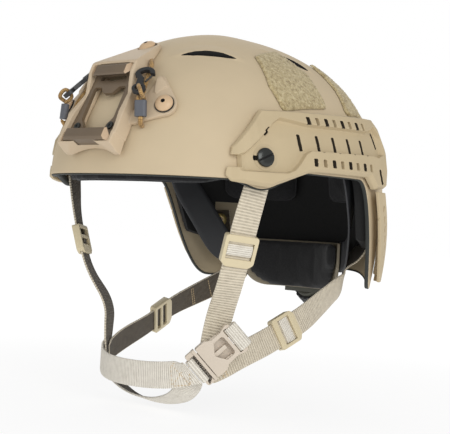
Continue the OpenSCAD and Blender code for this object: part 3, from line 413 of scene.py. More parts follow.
class Look:
    """A node material with one shader, and the nodes that feed it."""

    def __init__(self, name, rough, sheen=0.0, metal=0.0):
        self.mat = bpy.data.materials.new(name)
        self.mat.use_nodes = True
        self.tree = self.mat.node_tree
        self.tree.nodes.clear()
        out = node(self.tree, "ShaderNodeOutputMaterial")
        self.shader = node(self.tree, "ShaderNodeBsdfPrincipled", Roughness=rough, Sheen_Weight=sheen,
                           Metallic=metal)
        self.feed(self.shader.outputs[0], out.inputs[0])
        self.at = node(self.tree, "ShaderNodeTexCoord").outputs["Object"]

    def feed(self, value, socket):
        if isinstance(value, (int, float)):
            socket.default_value = value
        else:
            self.tree.links.new(value, socket)

    def lay(self):
        """The strap's or cord's own directions: along and across."""
        split = node(self.tree, "ShaderNodeSeparateXYZ")
        self.feed(node(self.tree, "ShaderNodeUVMap", uv_map="Lay").outputs[0], split.inputs[0])
        return split.outputs

    def noise(self, scale, detail=3.0, rough=0.55):
        n = node(self.tree, "ShaderNodeTexNoise", Scale=scale, Detail=detail, Roughness=rough)
        self.feed(self.at, n.inputs["Vector"])
        return n.outputs["Fac"]

    def math(self, op, *values):
        n = node(self.tree, "ShaderNodeMath", operation=op)
        for value, socket in zip(values, n.inputs):
            self.feed(value, socket)
        return n.outputs[0]

    def scaled(self, value, k):
        return self.math("MULTIPLY", value, k)

    def colour(self, factor, stops):
        """Base colour from a ramp of (place, colour) stops."""
        n = node(self.tree, "ShaderNodeValToRGB")
        elements = n.color_ramp.elements
        while len(elements) < len(stops):
            elements.new(0.5)
        for e, (spot, colour) in zip(elements, stops):
            e.position = spot
            e.color = colour
        self.feed(factor, n.inputs[0])
        self.feed(n.outputs[0], self.shader.inputs["Base Color"])

    def bump(self, height, strength, distance):
        n = node(self.tree, "ShaderNodeBump", Strength=strength, Distance=distance)
        self.feed(height, n.inputs["Height"])
        self.feed(n.outputs[0], self.shader.inputs["Normal"])
        return self.mat


def painted(name, colour, rough, grain, depth, mottle, metal=0.0):
    """Paint or moulded plastic with a fine grain, slight clouds of tone and uneven gloss."""
    look = Look(name, rough, metal=metal)
    tone = srgb(*colour)
    look.colour(look.noise(38, 4), [(0.3, tint(tone, 1 - mottle)), (0.7, tint(tone, 1 + mottle))])
    fine = look.noise(grain, 2)
    look.feed(look.math("MULTIPLY_ADD", fine, 0.14, rough - 0.07), look.shader.inputs["Roughness"])
    return look.bump(fine, 0.35, depth)


SHELL_TAN = (200, 182, 151)
RAIL_TAN = (191, 173, 139)
SHROUD_TAN = (199, 179, 151)

mat_shell = painted("shell_paint", SHELL_TAN, 0.72, 1700, 0.00005, 0.02)
# Painted shade: the shell's inner face is the shell paint made darker, for the shade inside the bowl
mat_inner_shade = painted("shell_inner_shade", (172, 158, 132), 0.8, 900, 0.00008, 0.04)
# Painted shade: near-black for the cut walls of the vents, the bolts' slots and the screws' hex sockets,
# standing in for the shade inside them
mat_recess_shade = painted("painted_recess_shade", (24, 23, 22), 0.85, 900, 0.00008, 0.08)
# Painted shadow: a near-black sheet behind the rail's slots, where there is only shade
mat_shadow_sheet = painted("rail_shadow_sheet", (26, 25, 23), 0.85, 900, 0.00008, 0.08)
# Painted shade: dark brown for the walls of the rail's through slots, for the shade inside them
mat_slot_shade = painted("rail_slot_shade", (58, 50, 38), 0.8, 1300, 0.00006, 0.08)
mat_rail = painted("rail_moulding", RAIL_TAN, 0.62, 1300, 0.00005, 0.03)
mat_shroud = painted("shroud_moulding", SHROUD_TAN, 0.58, 1300, 0.00005, 0.03)
mat_insert = painted("insert_anodised", (116, 100, 81), 0.42, 2100, 0.00003, 0.05, 0.25)
mat_facet = painted("insert_light_facet", (190, 164, 134), 0.45, 2100, 0.00003, 0.06)
mat_screw = painted("screw_paint", (206, 176, 140), 0.42, 1600, 0.00003, 0.03)
mat_black_screw = painted("black_screw", (58, 60, 58), 0.24, 1800, 0.00002, 0.06, 0.6)
mat_washer = painted("washer_rubber", (40, 37, 34), 0.75, 1500, 0.00004, 0.05)
mat_hook = painted("hook_plastic", (32, 33, 34), 0.4, 1500, 0.00004, 0.06)
mat_steel = painted("dark_steel", (92, 92, 90), 0.34, 1900, 0.00002, 0.08, 0.85)
mat_sleeve = painted("shrink_sleeve", (88, 90, 96), 0.5, 700, 0.00010, 0.07)
mat_trim = painted("trim_rubber", (44, 47, 44), 0.7, 1100, 0.00006, 0.06)
mat_foam = painted("liner_foam", (14, 14, 14), 0.85, 620, 0.00015, 0.08)
mat_band = painted("band_plastic", (46, 47, 50), 0.55, 1200, 0.00004, 0.05)
mat_cradle = painted("cradle_plastic", (134, 124, 104), 0.6, 1200, 0.00004, 0.04)
mat_dial = painted("dial_plastic", (66, 66, 56), 0.5, 1200, 0.00004, 0.05)
mat_knob = painted("knob_plastic", (38, 39, 40), 0.5, 1200, 0.00004, 0.05)
mat_brass = painted("nut_brass", (170, 150, 96), 0.35, 1500, 0.00002, 0.06, 0.9)
mat_adjuster = painted("adjuster_plastic", (212, 198, 164), 0.42, 1300, 0.00004, 0.025)
mat_buckle = painted("buckle_plastic", (208, 195, 178), 0.4, 1300, 0.00004, 0.025)


def loop_pile():
    """Straw-coloured loop pile: clumps of yarn of varying tone, and the gaps between them painted dark as
    shade, as the tone follows the bump's relief.
    """
    look = Look("loop_pile", 0.95, 0.25)
    yarn = look.noise(950, 4, 0.75)
    total = look.math("ADD", look.scaled(look.noise(330), 0.45), look.scaled(yarn, 0.6))
    look.colour(total, [(0.38, srgb(126, 107, 72)), (0.5, srgb(176, 158, 117)), (0.64, srgb(206, 192, 152))])
    return look.bump(total, 0.9, 0.0006)


def woven(name, colour, dark, rib, strand=0.55, depth=0.00035):
    """Webbing: cross ribs of yarn with fine lengthwise strands, from the strap's own lay."""
    look = Look(name, 0.82, 0.15)
    run, breadth = look.lay()[:2]
    along = look.scaled(run, 2 * math.pi / (rib * MM))
    across = look.scaled(breadth, 2 * math.pi / (strand * MM))
    twill = look.math("SINE", look.math("ADD", along, look.scaled(across, 0.5)))
    height = look.math("ADD", look.math("SINE", along), look.scaled(look.math("SINE", across), 0.2))
    height = look.math("ADD", height, look.scaled(twill, 0.12))
    # The tone follows the ribs' relief, so the valleys between them are painted darker as shade; the noise is
    # the yarn's own unevenness
    tone = look.math("MULTIPLY_ADD", height, 0.16, 0.28)
    tone = look.math("ADD", tone, look.scaled(look.noise(240, 4), 0.44))
    light = srgb(*colour)
    look.colour(tone, [(0.22, srgb(*dark)), (0.55, light), (0.85, tint(light, 1.12))])
    return look.bump(height, 0.8, depth)


def knitted(name, colour, light, cell=700, rough=0.92):
    """Dark fabric over foam: a fine knit with a soft sheen."""
    look = Look(name, rough, 0.08)
    cells = node(look.tree, "ShaderNodeTexVoronoi", Scale=cell)
    look.feed(look.at, cells.inputs["Vector"])
    knit = cells.outputs["Distance"]
    tone = look.math("ADD", look.scaled(knit, 0.7), look.scaled(look.noise(60), 0.4))
    look.colour(tone, [(0.2, srgb(*colour)), (0.8, srgb(*light))])
    return look.bump(knit, 0.6, 0.0003)


def braided():
    """Elastic cord: strands crossing round it, gold where the weave rises and dark brown where it dips."""
    look = Look("cord_weave", 0.75, 0.2)
    run, turn = look.lay()[:2]
    along = look.scaled(run, 2 * math.pi / (1.9 * MM))
    round_it = look.scaled(turn, 2 * math.pi * 5)
    weave = look.math("MULTIPLY", look.math("SINE", look.math("ADD", along, round_it)),
                      look.math("SINE", look.math("SUBTRACT", along, round_it)))
    tone = look.math("ADD", look.scaled(weave, 0.32), look.noise(420))
    look.colour(tone, [(0.2, srgb(82, 60, 34)), (0.5, srgb(166, 128, 72)), (0.85, srgb(205, 168, 108))])
    return look.bump(weave, 0.7, 0.0003)


mat_loop = loop_pile()
mat_web_tan = woven("webbing_tan", (224, 213, 191), (172, 160, 139), 2.2)
mat_web_pale = woven("webbing_pale", (242, 236, 223), (198, 189, 172), 1.6)
# Painted shade: a dark brown copy of the webbing for the straps' inner faces, which sit in shade
mat_web_inner_shade = woven("webbing_dark", (92, 81, 64), (46, 38, 29), 1.35)
mat_pad = knitted("pad_fabric", (12, 12, 13), (27, 27, 29))
mat_cradle_fabric = knitted("cradle_fabric", (13, 13, 14), (30, 30, 31), 1100)
mat_cord = braided()
mat_welt = knitted("welt", (18, 18, 19), (38, 38, 41), 1300, 0.8)
mat_thread = painted("thread", (202, 178, 140), 0.8, 1500, 0.00005, 0.05)


# Cords: elastic strands of the wearer's left, mirrored for the right
CORD_D = 4.0
LOOP_D = 3.0
STRAND = [(22, -104, 84.5), (25.2, -107, 81.5), (27.2, -110, 77), (28.6, -113.2, 72), (30, -117, 66.5),
          (31.3, -119.9, 61), (33.8, -124.1, 53.5), (34.8, -125.6, 47.8)]
LOW_END = [(41.26, -131.42, 39.3), (41.3, -131.4, 38.4), (39.8, -129.6, 35.6), (38, -126.5, 34)]
LOOP = [(-0.42, -7.2, -4.5), (-0.4, -6.3, -3.8), (-0.6, -4.2, -4), (-0.3, -1, -3.6), (0, 0.3, -1.4),
        (0, 0.3, 1.4), (0.6, -1, 3.7), (1.9, -4.4, 3.7), (3, -7.2, 1.6), (4, -6.2, -3.3), (3.98, -7, -4)]
EYE = np.array([37, -130.5, 60.0])
HOOK_DIR = unit(np.array([26, -116, 77.5]) - EYE)
HOOK_OUT = unit([0.45, -0.75, 0.45])


def line_frame(along, out):
    y = unit(along)
    x = unit(np.cross(y, out))
    return np.stack([x, y, np.cross(x, y)])


def catmull(points, n):
    p = [np.asarray(q, float) for q in points]
    out = []
    for i in range(len(p) - 1):
        a, b, c, d = p[max(i - 1, 0)], p[i], p[i + 1], p[min(i + 2, len(p) - 1)]
        for j in range(n):
            s = j / n
            out.append(0.5 * (2 * b + (c - a) * s + (2 * a - 5 * b + 4 * c - d) * s * s
                              + (3 * b - a - 3 * c + d) * s ** 3))
    out.append(p[-1])
    return np.array(out)


def even(line, step):
    run = np.concatenate([[0], np.cumsum(np.linalg.norm(np.diff(line, axis=0), axis=1))])
    n = max(4, int(round(run[-1] / step)))
    at = np.linspace(0, run[-1], n + 1)
    return np.stack([np.interp(at, run, line[:, k]) for k in range(line.shape[1])], -1), at


def side_frames(line):
    """Directions along a line, with a side that turns as little as it can."""
    along = unit(np.gradient(line, axis=0))
    side = np.cross(along[0], [0, 0, 1.0])
    if np.linalg.norm(side) < 0.2:
        side = np.cross(along[0], [1.0, 0, 0])
    out = []
    for a in along:
        side = unit(side - (side @ a) * a)
        out.append(side)
    return along, np.array(out)


def rings(side, up, a):
    """Unit circles across a line, one for each of its points."""
    return side[:, None] * np.cos(a)[:, None] + up[:, None] * np.sin(a)[:, None]


def braided_tube(name, points, d, sides=28, step=0.32, lobes=5, lay=1.9):
    """Round cord with the relief of a braid: strands crossing both ways round it."""
    line, run = even(catmull(points, 16), step)
    along, side = side_frames(line)
    a = np.linspace(0, 2 * np.pi, sides + 1)
    turn = 2 * np.pi * run[:, None] / lay
    relief = np.sin(turn + lobes * a) * np.sin(turn - lobes * a)
    r = d / 2 * (0.965 + 0.035 * relief)
    pts = line[:, None] + r[..., None] * rings(side, np.cross(side, along), a)
    n, k = pts.shape[:2]
    verts = np.concatenate([pts.reshape(-1, 3), line[:1], line[-1:]])
    uv = np.stack([np.repeat(run * MM, k), np.tile(a / (2 * np.pi), n)], -1)
    uv = np.concatenate([uv, [[run[0] * MM, 0.5], [run[-1] * MM, 0.5]]])
    ends = [(n * k, j + 1, j) for j in range(k - 1)]
    ends += [(n * k + 1, (n - 1) * k + j, (n - 1) * k + j + 1) for j in range(k - 1)]
    obj = make(name, verts, quads(n, k, ring=False) + ends, mat_cord, uv=uv)
    with edited(obj) as bm:
        bmesh.ops.remove_doubles(bm, verts=bm.verts, dist=1e-7)
    return obj, line, float(run[-1])


HOOK_FRAME = line_frame(HOOK_DIR, HOOK_OUT)
loop_points = [EYE + np.array(p) @ HOOK_FRAME for p in LOOP]
for side_name, s in SIDES:
    strand, line, long = braided_tube("cord_strand_" + side_name, flip(STRAND, s), CORD_D)
    dress(strand, "bungee_" + side_name)
    for part, points, d in (("end", LOW_END, CORD_D), ("loop", loop_points, LOOP_D)):
        piece = braided_tube(f"cord_{part}_{side_name}", flip(points, s), d)[0]
        dress(piece, "bungee_" + side_name)


# Shell: outer skin with the vent hoods, rounded rim and inner face
VENT_W = 5.0
VENT_SLOT = 3.7
VENTS = [((20, 0.445), (54.5, 0.43), 2.6, 15.0, 1.45), ((85, 0.325), (104, 0.42), 2.0, 10.0, 1.5)]


def vent_frame(vent):
    a = egg(*vent[0])
    b = egg(*vent[1])
    mid_phi = (vent[0][0] + vent[1][0]) / 2
    mid_t = (vent[0][1] + vent[1][1]) / 2
    n = egg_normal(mid_phi, mid_t)
    f = line_frame(b - a, n)
    up = f[0] if f[0] @ (np.array([0, 0, SHELL_H]) - egg(mid_phi, mid_t)) > 0 else -f[0]
    return egg(mid_phi, mid_t), f, up, np.linalg.norm(b - a) / 2


def hood(points):
    """How far the vent hoods raise the skin: a lip over the slot that fades towards the crown."""
    rise = np.zeros(points.shape[:-1])
    for vent in VENTS:
        at, f, up, half = vent_frame(vent)
        for s in (1, -1):
            q = points * np.array([s, 1, 1]) - at
            along = q @ f[1] / (half * vent[4])
            across = q @ up
            near = np.abs(q @ f[2]) < 30
            span = np.maximum(0, 1 - along ** 2)
            lip = smooth((across + VENT_W * 0.35) / (VENT_W * 0.7))
            reach = vent[3] * (0.25 + 0.75 * span)
            fade = np.clip(1 - (across - VENT_W / 2) / reach, 0, 1)
            rise = np.maximum(rise, vent[2] * span ** 1.2 * lip * fade ** 0.9 * near)
    return rise


def closed_bowl(rows, top, bottom):
    """Points and faces of a bowl from its rings and the middle of either face."""
    pts = np.concatenate(rows)
    n, k = pts.shape[:2]
    last = (n - 1) * k
    faces = quads(n, k, down=True)
    faces += [(n * k, j, (j + 1) % k) for j in range(k)]
    faces += [(n * k + 1, last + (j + 1) % k, last + j) for j in range(k)]
    return np.concatenate([pts.reshape(-1, 3), [top], [bottom]]), faces


SKIN_COLUMNS = 400
SKIN_ROWS = 130
RIM_ANGLES = (30, 60, 90, 120, 150)


def shell_skin():
    phis = even_phis(SKIN_COLUMNS)
    edge = edge_t(phis)
    share = np.linspace(0, 1, SKIN_ROWS + 1)[1:] ** 0.92
    phi_g, s_g = np.meshgrid(phis, share)
    t_g = edge[None, :] * s_g
    outer = egg(phi_g, t_g)
    nrm = egg_normal(phi_g, t_g)
    outer = outer + hood(outer)[..., None] * nrm
    # Rim: a half round between the outer and inner face
    down = unit(np.gradient(outer, axis=0)[-1])
    rows = [outer]
    for a in np.radians(RIM_ANGLES):
        inward = nrm[-1] * (SHELL_T / 2) * (1 - math.cos(a))
        rows.append((outer[-1] - inward + down * 0.55 * math.sin(a))[None])
    phi_i, s_i = np.meshgrid(phis, np.linspace(1, 0, 46)[:-1])
    t_i = edge[None, :] * s_i
    rows.append(egg(phi_i, t_i) - SHELL_T * egg_normal(phi_i, t_i))
    top = egg(0, 0)
    verts, faces = closed_bowl(rows, top, top - np.array([0, 0, SHELL_T]))
    obj = make("shell_skin", verts, faces, (mat_shell, mat_inner_shade))
    crown = len(verts) - 2
    first_inner = (SKIN_ROWS + len(RIM_ANGLES) - 2) * SKIN_COLUMNS
    index = [int(min(f) >= first_inner and max(f) != crown) for f in faces]
    obj.data.polygons.foreach_set("material_index", index)
    return obj


def cutter(outlines, mat):
    """A solid between two outlines, to be taken out of a piece."""
    n = len(outlines[0])
    faces = [tuple(range(n)), tuple(range(2 * n - 1, n - 1, -1))] + quads(2, n, down=True)
    return make("cutter", np.concatenate(outlines), faces, mat)


def vent_cutter(vent, s):
    at, f, up, half = vent_frame(vent)
    turns = 2 * math.pi * np.arange(40) / 40
    outline = [(spow(math.sin(a), 1.3) * VENT_SLOT / 2, math.cos(a) * half) for a in turns]
    # The cutter passes its dark painted shade on to the vent's cut walls
    return cutter([flip([place(at, f, x, y, z) for x, y in outline], s) for z in (-14, 14)], mat_recess_shade)


def cut(obj, cutters):
    """Takes the cutters out of the piece and drops them; the cut faces get the cutter's material."""
    for c in cutters:
        face_out(c)
        modify(obj, "cut", "BOOLEAN", operation="DIFFERENCE", solver="EXACT", object=c,
               material_mode="TRANSFER")
    apply_modifiers(obj)
    for c in cutters:
        bpy.data.objects.remove(c)


shell = shell_skin()
cut(shell, [vent_cutter(v, s) for v in VENTS for s in (1, -1)])
smooth_by_angle(shell, 40)
dress(shell, "shell")


# Bead along the shell's edge: under the rim and up its inner face, slimmer round the ears and nape
BEAD_FULL = [(-0.35, 0.7), (-0.5, 1.25), (-1.0, 1.55), (-2.6, 1.58), (-4.1, 1.45), (-4.65, 1.0), (-4.78, 0.0),
             (-4.75, -2.9), (-4.5, -3.3), (-4.1, -3.0), (-3.98, 0.0), (-3.5, 0.72)]
BEAD_SLIM = [(-0.35, 0.7), (-0.45, 0.95), (-0.9, 1.15), (-1.7, 1.2), (-2.6, 1.15), (-3.3, 0.95), (-3.55, 0.6),
             (-3.6, 0.1), (-3.55, -0.2), (-3.45, -0.2), (-3.42, 0.1), (-3.38, 0.7)]


def edge_bead():
    phis = even_phis(SKIN_COLUMNS)
    edge = edge_t(phis)
    p = egg(phis, edge)
    n = egg_normal(phis, np.minimum(edge, 1.95))
    down = np.cross(n, unit(np.roll(p, -1, axis=0) - np.roll(p, 1, axis=0)))
    down = -down * np.sign(down[:, 2:3])
    share = smooth((p[:, 1] + 75) / 60)[:, None, None]
    section = mix(np.array(BEAD_FULL)[None], np.array(BEAD_SLIM)[None], share)
    ring = p[:, None] + section[..., :1] * n[:, None] + section[..., 1:] * down[:, None]
    return make("edge_bead", ring.reshape(-1, 3), quads(*ring.shape[:2], loop=True), mat_trim)


dress(edge_bead(), "edge_trim")


# Foam liner: fine bowl between the shell and the pads
SOFT_GAP = 0.6
FACET_SAG = 0.9
LINER_T = 8.0
PAD_T = 13.0
LINER_OUT = -SHELL_T - SOFT_GAP - FACET_SAG
LINER_IN = LINER_OUT - LINER_T
PAD_OUT = LINER_IN - SOFT_GAP - FACET_SAG
LINER_LIFT = 13.5
LINER_LOW = -39.0


def bowl(name, o_out, o_in, count, n_rows, lift, low, mat):
    phis = even_phis(count, lift, low)
    edge = edge_t(phis, lift, low)
    phi_g, s_g = np.meshgrid(phis, np.linspace(0, 1, n_rows + 1)[1:])
    outer = egg(phi_g, edge * s_g, o_out)
    inner = egg(phi_g, edge * s_g, o_in)[::-1]
    down = unit(outer[-1] - outer[-2])
    rim = [(mix(outer[-1], inner[0], f) + down * (1.6 * math.sin(math.pi * f)))[None]
           for f in (0.12, 0.3, 0.5, 0.7, 0.88)]
    verts, faces = closed_bowl([outer, *rim, inner], egg(0, 0, o_out), egg(0, 0, o_in))
    return make(name, verts, faces, mat)


def prism(points, x0, x1, s):
    """Cutter: an outline in y and z, run along x; mirrored where s is -1."""
    return cutter([[(x * s, y, z) for y, z in points] for x in (x0, x1)], mat_foam)


def drum(at, n, r, z0, z1, sides=28):
    """Cutter: a round hole along n."""
    f = line_frame([0.3, 0.2, 1.0], n)
    ring = [(r * math.cos(a), r * math.sin(a)) for a in 2 * math.pi * np.arange(sides) / sides]
    return cutter([[place(at, f, x, y, z) for x, y in ring] for z in (z0, z1)], mat_foam)


FRONT_BOLTS = [(0, 95), (49.5, 48.5), (-49.5, 48.5)]
ANCHOR_ROOM = [[(-82, -30), (-56.5, -30), (-56.5, 29), (-82, 29)],
               [(94, -70), (121, -70), (121, -12), (94, -12)]]
liner = bowl("liner_foam", LINER_OUT, LINER_IN, 220, 40, LINER_LIFT, LINER_LOW, mat_foam)
cutters = [prism(room, 45, 130, s) for room in ANCHOR_ROOM for s in (1, -1)]
cutters += [drum(on_front(*b), front_normal(*b), 7, -20, 20) for b in FRONT_BOLTS]
cut(liner, cutters)
smooth_by_angle(liner, 50)
dress(liner, "impact_liner")


# Loop panels: pile raised over the shell inside an outline seen from 45 degrees above the side
SEAT = 0.4
PANEL_T = 2.0
LEAN_UP = np.array([-math.sqrt(0.5), 0, math.sqrt(0.5)])
SIDE_PANEL = [(-34, 24, 3), (2, 38, 3), (16, 8, 3), (14, -26, 4), (-42, -33, 4), (-44, -10, 4)]
REAR_PANEL = [(51, 38, 3), (60, 36, 3), (72, 6, 6), (72, -22, 4), (42, -27, 4), (50, 0, 4)]


def rounded_outline(points, n=6):
    out = []
    k = len(points)
    for i in range(k):
        a = np.array(points[i - 1][:2], float)
        b = np.array(points[i][:2], float)
        c = np.array(points[(i + 1) % k][:2], float)
        r = points[i][2]
        u, w = unit(a - b), unit(c - b)
        half = math.acos(max(-1, min(1, float(u @ w)))) / 2
        d = r / math.tan(half)
        m = b + unit(u + w) * r / math.sin(half)
        p, q = b + u * d - m, b + w * d - m
        a0 = math.atan2(p[1], p[0])
        turn = math.atan2(p[0] * q[1] - p[1] * q[0], float(p @ q))
        for j in range(n + 1):
            at = a0 + turn * j / n
            out.append(m + r * np.array([math.cos(at), math.sin(at)]))
    return np.array(out)


def lean_solve(y, up):
    """Angles of the skin's point at this y and height up the leaning view, by Newton steps."""
    table_phi, table_t = np.meshgrid(np.linspace(30, 150, 100), np.linspace(0.1, 1.0, 90))
    table = egg(table_phi, table_t)
    ty, tu = table[..., 1].ravel(), (table @ LEAN_UP).ravel()
    phi = np.empty(len(y))
    t = np.empty(len(y))
    for i in range(0, len(y), 2000):
        sl = slice(i, i + 2000)
        near = np.argmin((ty[None] - y[sl, None]) ** 2 + (tu[None] - up[sl, None]) ** 2, axis=1)
        phi[sl] = table_phi.ravel()[near]
        t[sl] = table_t.ravel()[near]
    for _ in range(7):
        p = egg(phi, t)
        dp = (egg(phi + 0.05, t) - egg(phi - 0.05, t)) / 0.1
        dt = (egg(phi, t + 0.0005) - egg(phi, t - 0.0005)) / 0.001
        ry, ru = y - p[:, 1], up - p @ LEAN_UP
        a, b, c, d = dp[:, 1], dt[:, 1], dp @ LEAN_UP, dt @ LEAN_UP
        det = a * d - b * c
        phi = phi + (ry * d - ru * b) / det
        t = np.clip(t + (ru * a - ry * c) / det, 0.01, 1.5)
    return phi, t


def to_outline(points, outline):
    """Signed distance from points to a closed outline, positive inside."""
    a = outline
    b = np.roll(outline, -1, axis=0)
    d = b - a
    rel = points[:, None] - a[None]
    s = np.clip((rel * d).sum(-1) / (d * d).sum(-1), 0, 1)
    dist = np.linalg.norm(rel - s[..., None] * d, axis=-1).min(1)
    x, y = points[:, 0:1], points[:, 1:2]
    crosses = (a[:, 1] > y) != (b[:, 1] > y)
    rise = np.where(b[:, 1] == a[:, 1], 1e-9, b[:, 1] - a[:, 1])
    at_x = a[:, 0] + (y - a[:, 1]) / rise * (b[:, 0] - a[:, 0])
    inside = (crosses & (x < at_x)).sum(1) % 2 == 1
    return np.where(inside, dist, -dist)


def kept_faces(kept):
    """Faces of a grid whose points are all kept; its points are numbered as they are kept."""
    flat = kept.ravel()
    number = np.cumsum(flat) - 1
    return [tuple(number[list(q)]) for q in quads(*kept.shape, ring=False, down=True) if flat[list(q)].all()]


PILE_STEP = 0.85
PILE_FUZZ = 0.16


def panel(name, node_name, corners, s, seed):
    """Pile panel: a fine uneven grid inside the outline, with soft edges that come down to the shell."""
    outline = rounded_outline(corners)
    low, high = outline.min(0), outline.max(0)
    xs = np.arange(low[0] - PILE_STEP, high[0] + PILE_STEP, PILE_STEP)
    ys = np.arange(low[1] - PILE_STEP, high[1] + PILE_STEP, PILE_STEP)
    gx, gy = np.meshgrid(xs, ys, indexing="ij")
    pts = np.stack([gx.ravel(), gy.ravel()], -1)
    d = to_outline(pts, outline)
    kept = d > -PILE_STEP * 0.5
    # Points just outside the outline are pulled onto it
    grad = unit(np.stack([to_outline(pts + e, outline) - to_outline(pts - e, outline)
                          for e in (np.array([0.05, 0]), np.array([0, 0.05]))], -1))
    near = d < PILE_STEP * 0.5
    pts = np.where(near[:, None], pts - grad * d[:, None], pts)
    d = np.where(near, 0, d)[kept]
    phi, t = lean_solve(*pts[kept].T)
    base = egg(phi, t)
    nrm = egg_normal(phi, t)
    fuzz = np.random.default_rng(seed).normal(0, PILE_FUZZ, len(d))
    rise = SEAT + PANEL_T * (1 - (1 - smooth(d / 1.5)) * 0.62) + fuzz
    faces = kept_faces(kept.reshape(gx.shape))
    # Skirt along the border
    edges = dict.fromkeys((q[k], q[(k + 1) % 4]) for q in faces for k in range(4))
    border = [(a, b) for a, b in edges if (b, a) not in edges]
    used = sorted({v for edge in border for v in edge})
    low_of = {v: len(d) + i for i, v in enumerate(used)}
    faces += [(b, a, low_of[a], low_of[b]) for a, b in border]
    verts = np.concatenate([base + rise[:, None] * nrm, (base + SEAT * nrm)[used]])
    obj = make(name, verts, faces, mat_loop, s=s)
    with edited(obj) as bm:
        drop_loose(bm)
        bmesh.ops.recalc_face_normals(bm, faces=bm.faces)
    if sum(p.normal @ Vector(p.center) for p in obj.data.polygons[:200]) < 0:
        obj.data.flip_normals()
    dress(obj, node_name)


for side_name, s in SIDES:
    panel("pile_side_" + side_name, "loop_side_" + side_name, SIDE_PANEL, s, 11 + s)
    panel("pile_rear_" + side_name, "loop_rear_" + side_name, REAR_PANEL, s, 21 + s)


# Webbing: ribbons with rounded edges along the source's paths
STRAP_W = 20.0
STRAP_T = 1.6
BEND = 14.0
STRAP_OFF = -5.1
ADJ_FRONT = [(91, -69, -30), (77.5, -66, -73)]
ADJ_FRONT_OUT = (0.84, -0.52, -0.14)
ADJ_REAR = [(66, -6, -122), (70.5, 33, -105)]
ADJ_REAR_OUT = (0.93, -0.25, 0.2)
BUCKLE_MID = np.array([64.5, -61.5, -127.5])
BUCKLE_OUT = np.array([0.75, -0.66, 0])
BUCKLE_DIR = np.array([0.482, 0.548, 0.682])
BUCKLE_FRAME = line_frame(BUCKLE_DIR, BUCKLE_OUT)


def by_buckle(u, v, w):
    return BUCKLE_MID + np.array([u, v, w]) @ BUCKLE_FRAME


def with_out(p, n):
    return np.concatenate([np.asarray(p, float), np.asarray(n, float)])


def on_wall(y, z, o):
    return with_out(on_side(y, z, o), side_normal(y, z))


FRONT_PATH = [
    on_wall(-69, 22, STRAP_OFF), on_wall(-69, 6, STRAP_OFF - 0.4), on_wall(-69.5, -4, STRAP_OFF - 2.2),
    with_out(ADJ_FRONT[0], ADJ_FRONT_OUT), with_out(ADJ_FRONT[1], ADJ_FRONT_OUT),
    with_out([58.9, -56.3, -102], [0.76, -0.65, 0]), with_out([56.6, -59, -124], BUCKLE_OUT),
    with_out(by_buckle(10, -15, -7.6), BUCKLE_OUT),
]
BAND_T = 1.6
BAND_W = 26.0
CRADLE_Y = 55.0
FRAME_R = 69.4
FRAME_T = 2.4
BAND_R = FRAME_R + FRAME_T + 0.6 + BAND_T / 2
STRAP_R = BAND_R + BAND_T / 2 + 0.7 + STRAP_T / 2


def on_ring(a, z, r):
    """Point of the ring round the nape, its angle from the middle in degrees."""
    s, c = math.sin(math.radians(a)), math.cos(math.radians(a))
    return with_out([r * s, CRADLE_Y + r * c, z], [s, c, 0])


# The wearer's right one hangs with a slight turn
FRONT_PATH_RIGHT = FRONT_PATH[:5] + [
    with_out([58.9, -56.3, -102], [0.91, -0.41, 0]), with_out([56.6, -59, -124], [0.88, -0.47, 0]),
    with_out(by_buckle(10, -15, -7.6), BUCKLE_OUT),
]
REAR_PATH = [
    on_wall(107, -20, STRAP_OFF), on_wall(107.5, -46, STRAP_OFF - 0.8), on_ring(50, -60, STRAP_R),
    on_ring(50, -77, STRAP_R + 0.8),
    with_out(ADJ_REAR[1], ADJ_REAR_OUT), with_out(ADJ_REAR[0], ADJ_REAR_OUT),
    with_out([63, -36, -132], [0.85, -0.5, 0]), with_out([60.1, -51.3, -138.5], BUCKLE_OUT),
    with_out([54, -59.3, -143], BUCKLE_OUT),
]
CHIN_UPPER_PATH = [
    with_out(by_buckle(-0.5, -23.9, 1.9), BUCKLE_OUT), with_out([28, -89, -147.5], [0.25, -0.97, 0]),
    with_out([0, -93, -148], [0, -1, 0]), with_out([-30, -87, -147], [-0.3, -0.95, 0]),
    with_out([-53.5, -69, -142.5], [-0.7, -0.7, 0]), with_out([-61.6, -57, -140.4], [-0.8, -0.6, 0]),
]
CHIN_LOWER_PATH = [
    with_out(by_buckle(1.0, -24.0, -1.6), BUCKLE_OUT), with_out([43, -72, -159], [0.5, -0.5, -0.7]),
    with_out([30, -68, -166.5], [0.3, -0.35, -0.88]), with_out([10, -67, -171], [0.1, -0.25, -0.96]),
    with_out([-18, -66.5, -169.5], [-0.15, -0.3, -0.95]), with_out([-42, -65, -159], [-0.55, -0.3, -0.8]),
    with_out([-48.9, -67.8, -147.8], [-0.7, -0.65, -0.2]),
]


def eased(path, n):
    out = [path[0]]
    for i in range(1, len(path) - 1):
        a, v, b = path[i - 1], path[i], path[i + 1]
        sa = min(0.48, BEND / np.linalg.norm(a[:3] - v[:3]))
        sb = min(0.48, BEND / np.linalg.norm(b[:3] - v[:3]))
        p, q = mix(v, a, sa), mix(v, b, sb)
        out += [(1 - s) ** 2 * p + 2 * s * (1 - s) * v + s * s * q for s in np.linspace(0, 1, n)]
    out.append(path[-1])
    return np.array(out)


def strap_frames(path, step=1.2):
    line, run = even(eased(path, 14), step)
    c, out = line[:, :3], line[:, 3:]
    along = unit(np.gradient(c, axis=0))
    side = unit(np.cross(along, out))
    return c, along, side, np.cross(side, along), run


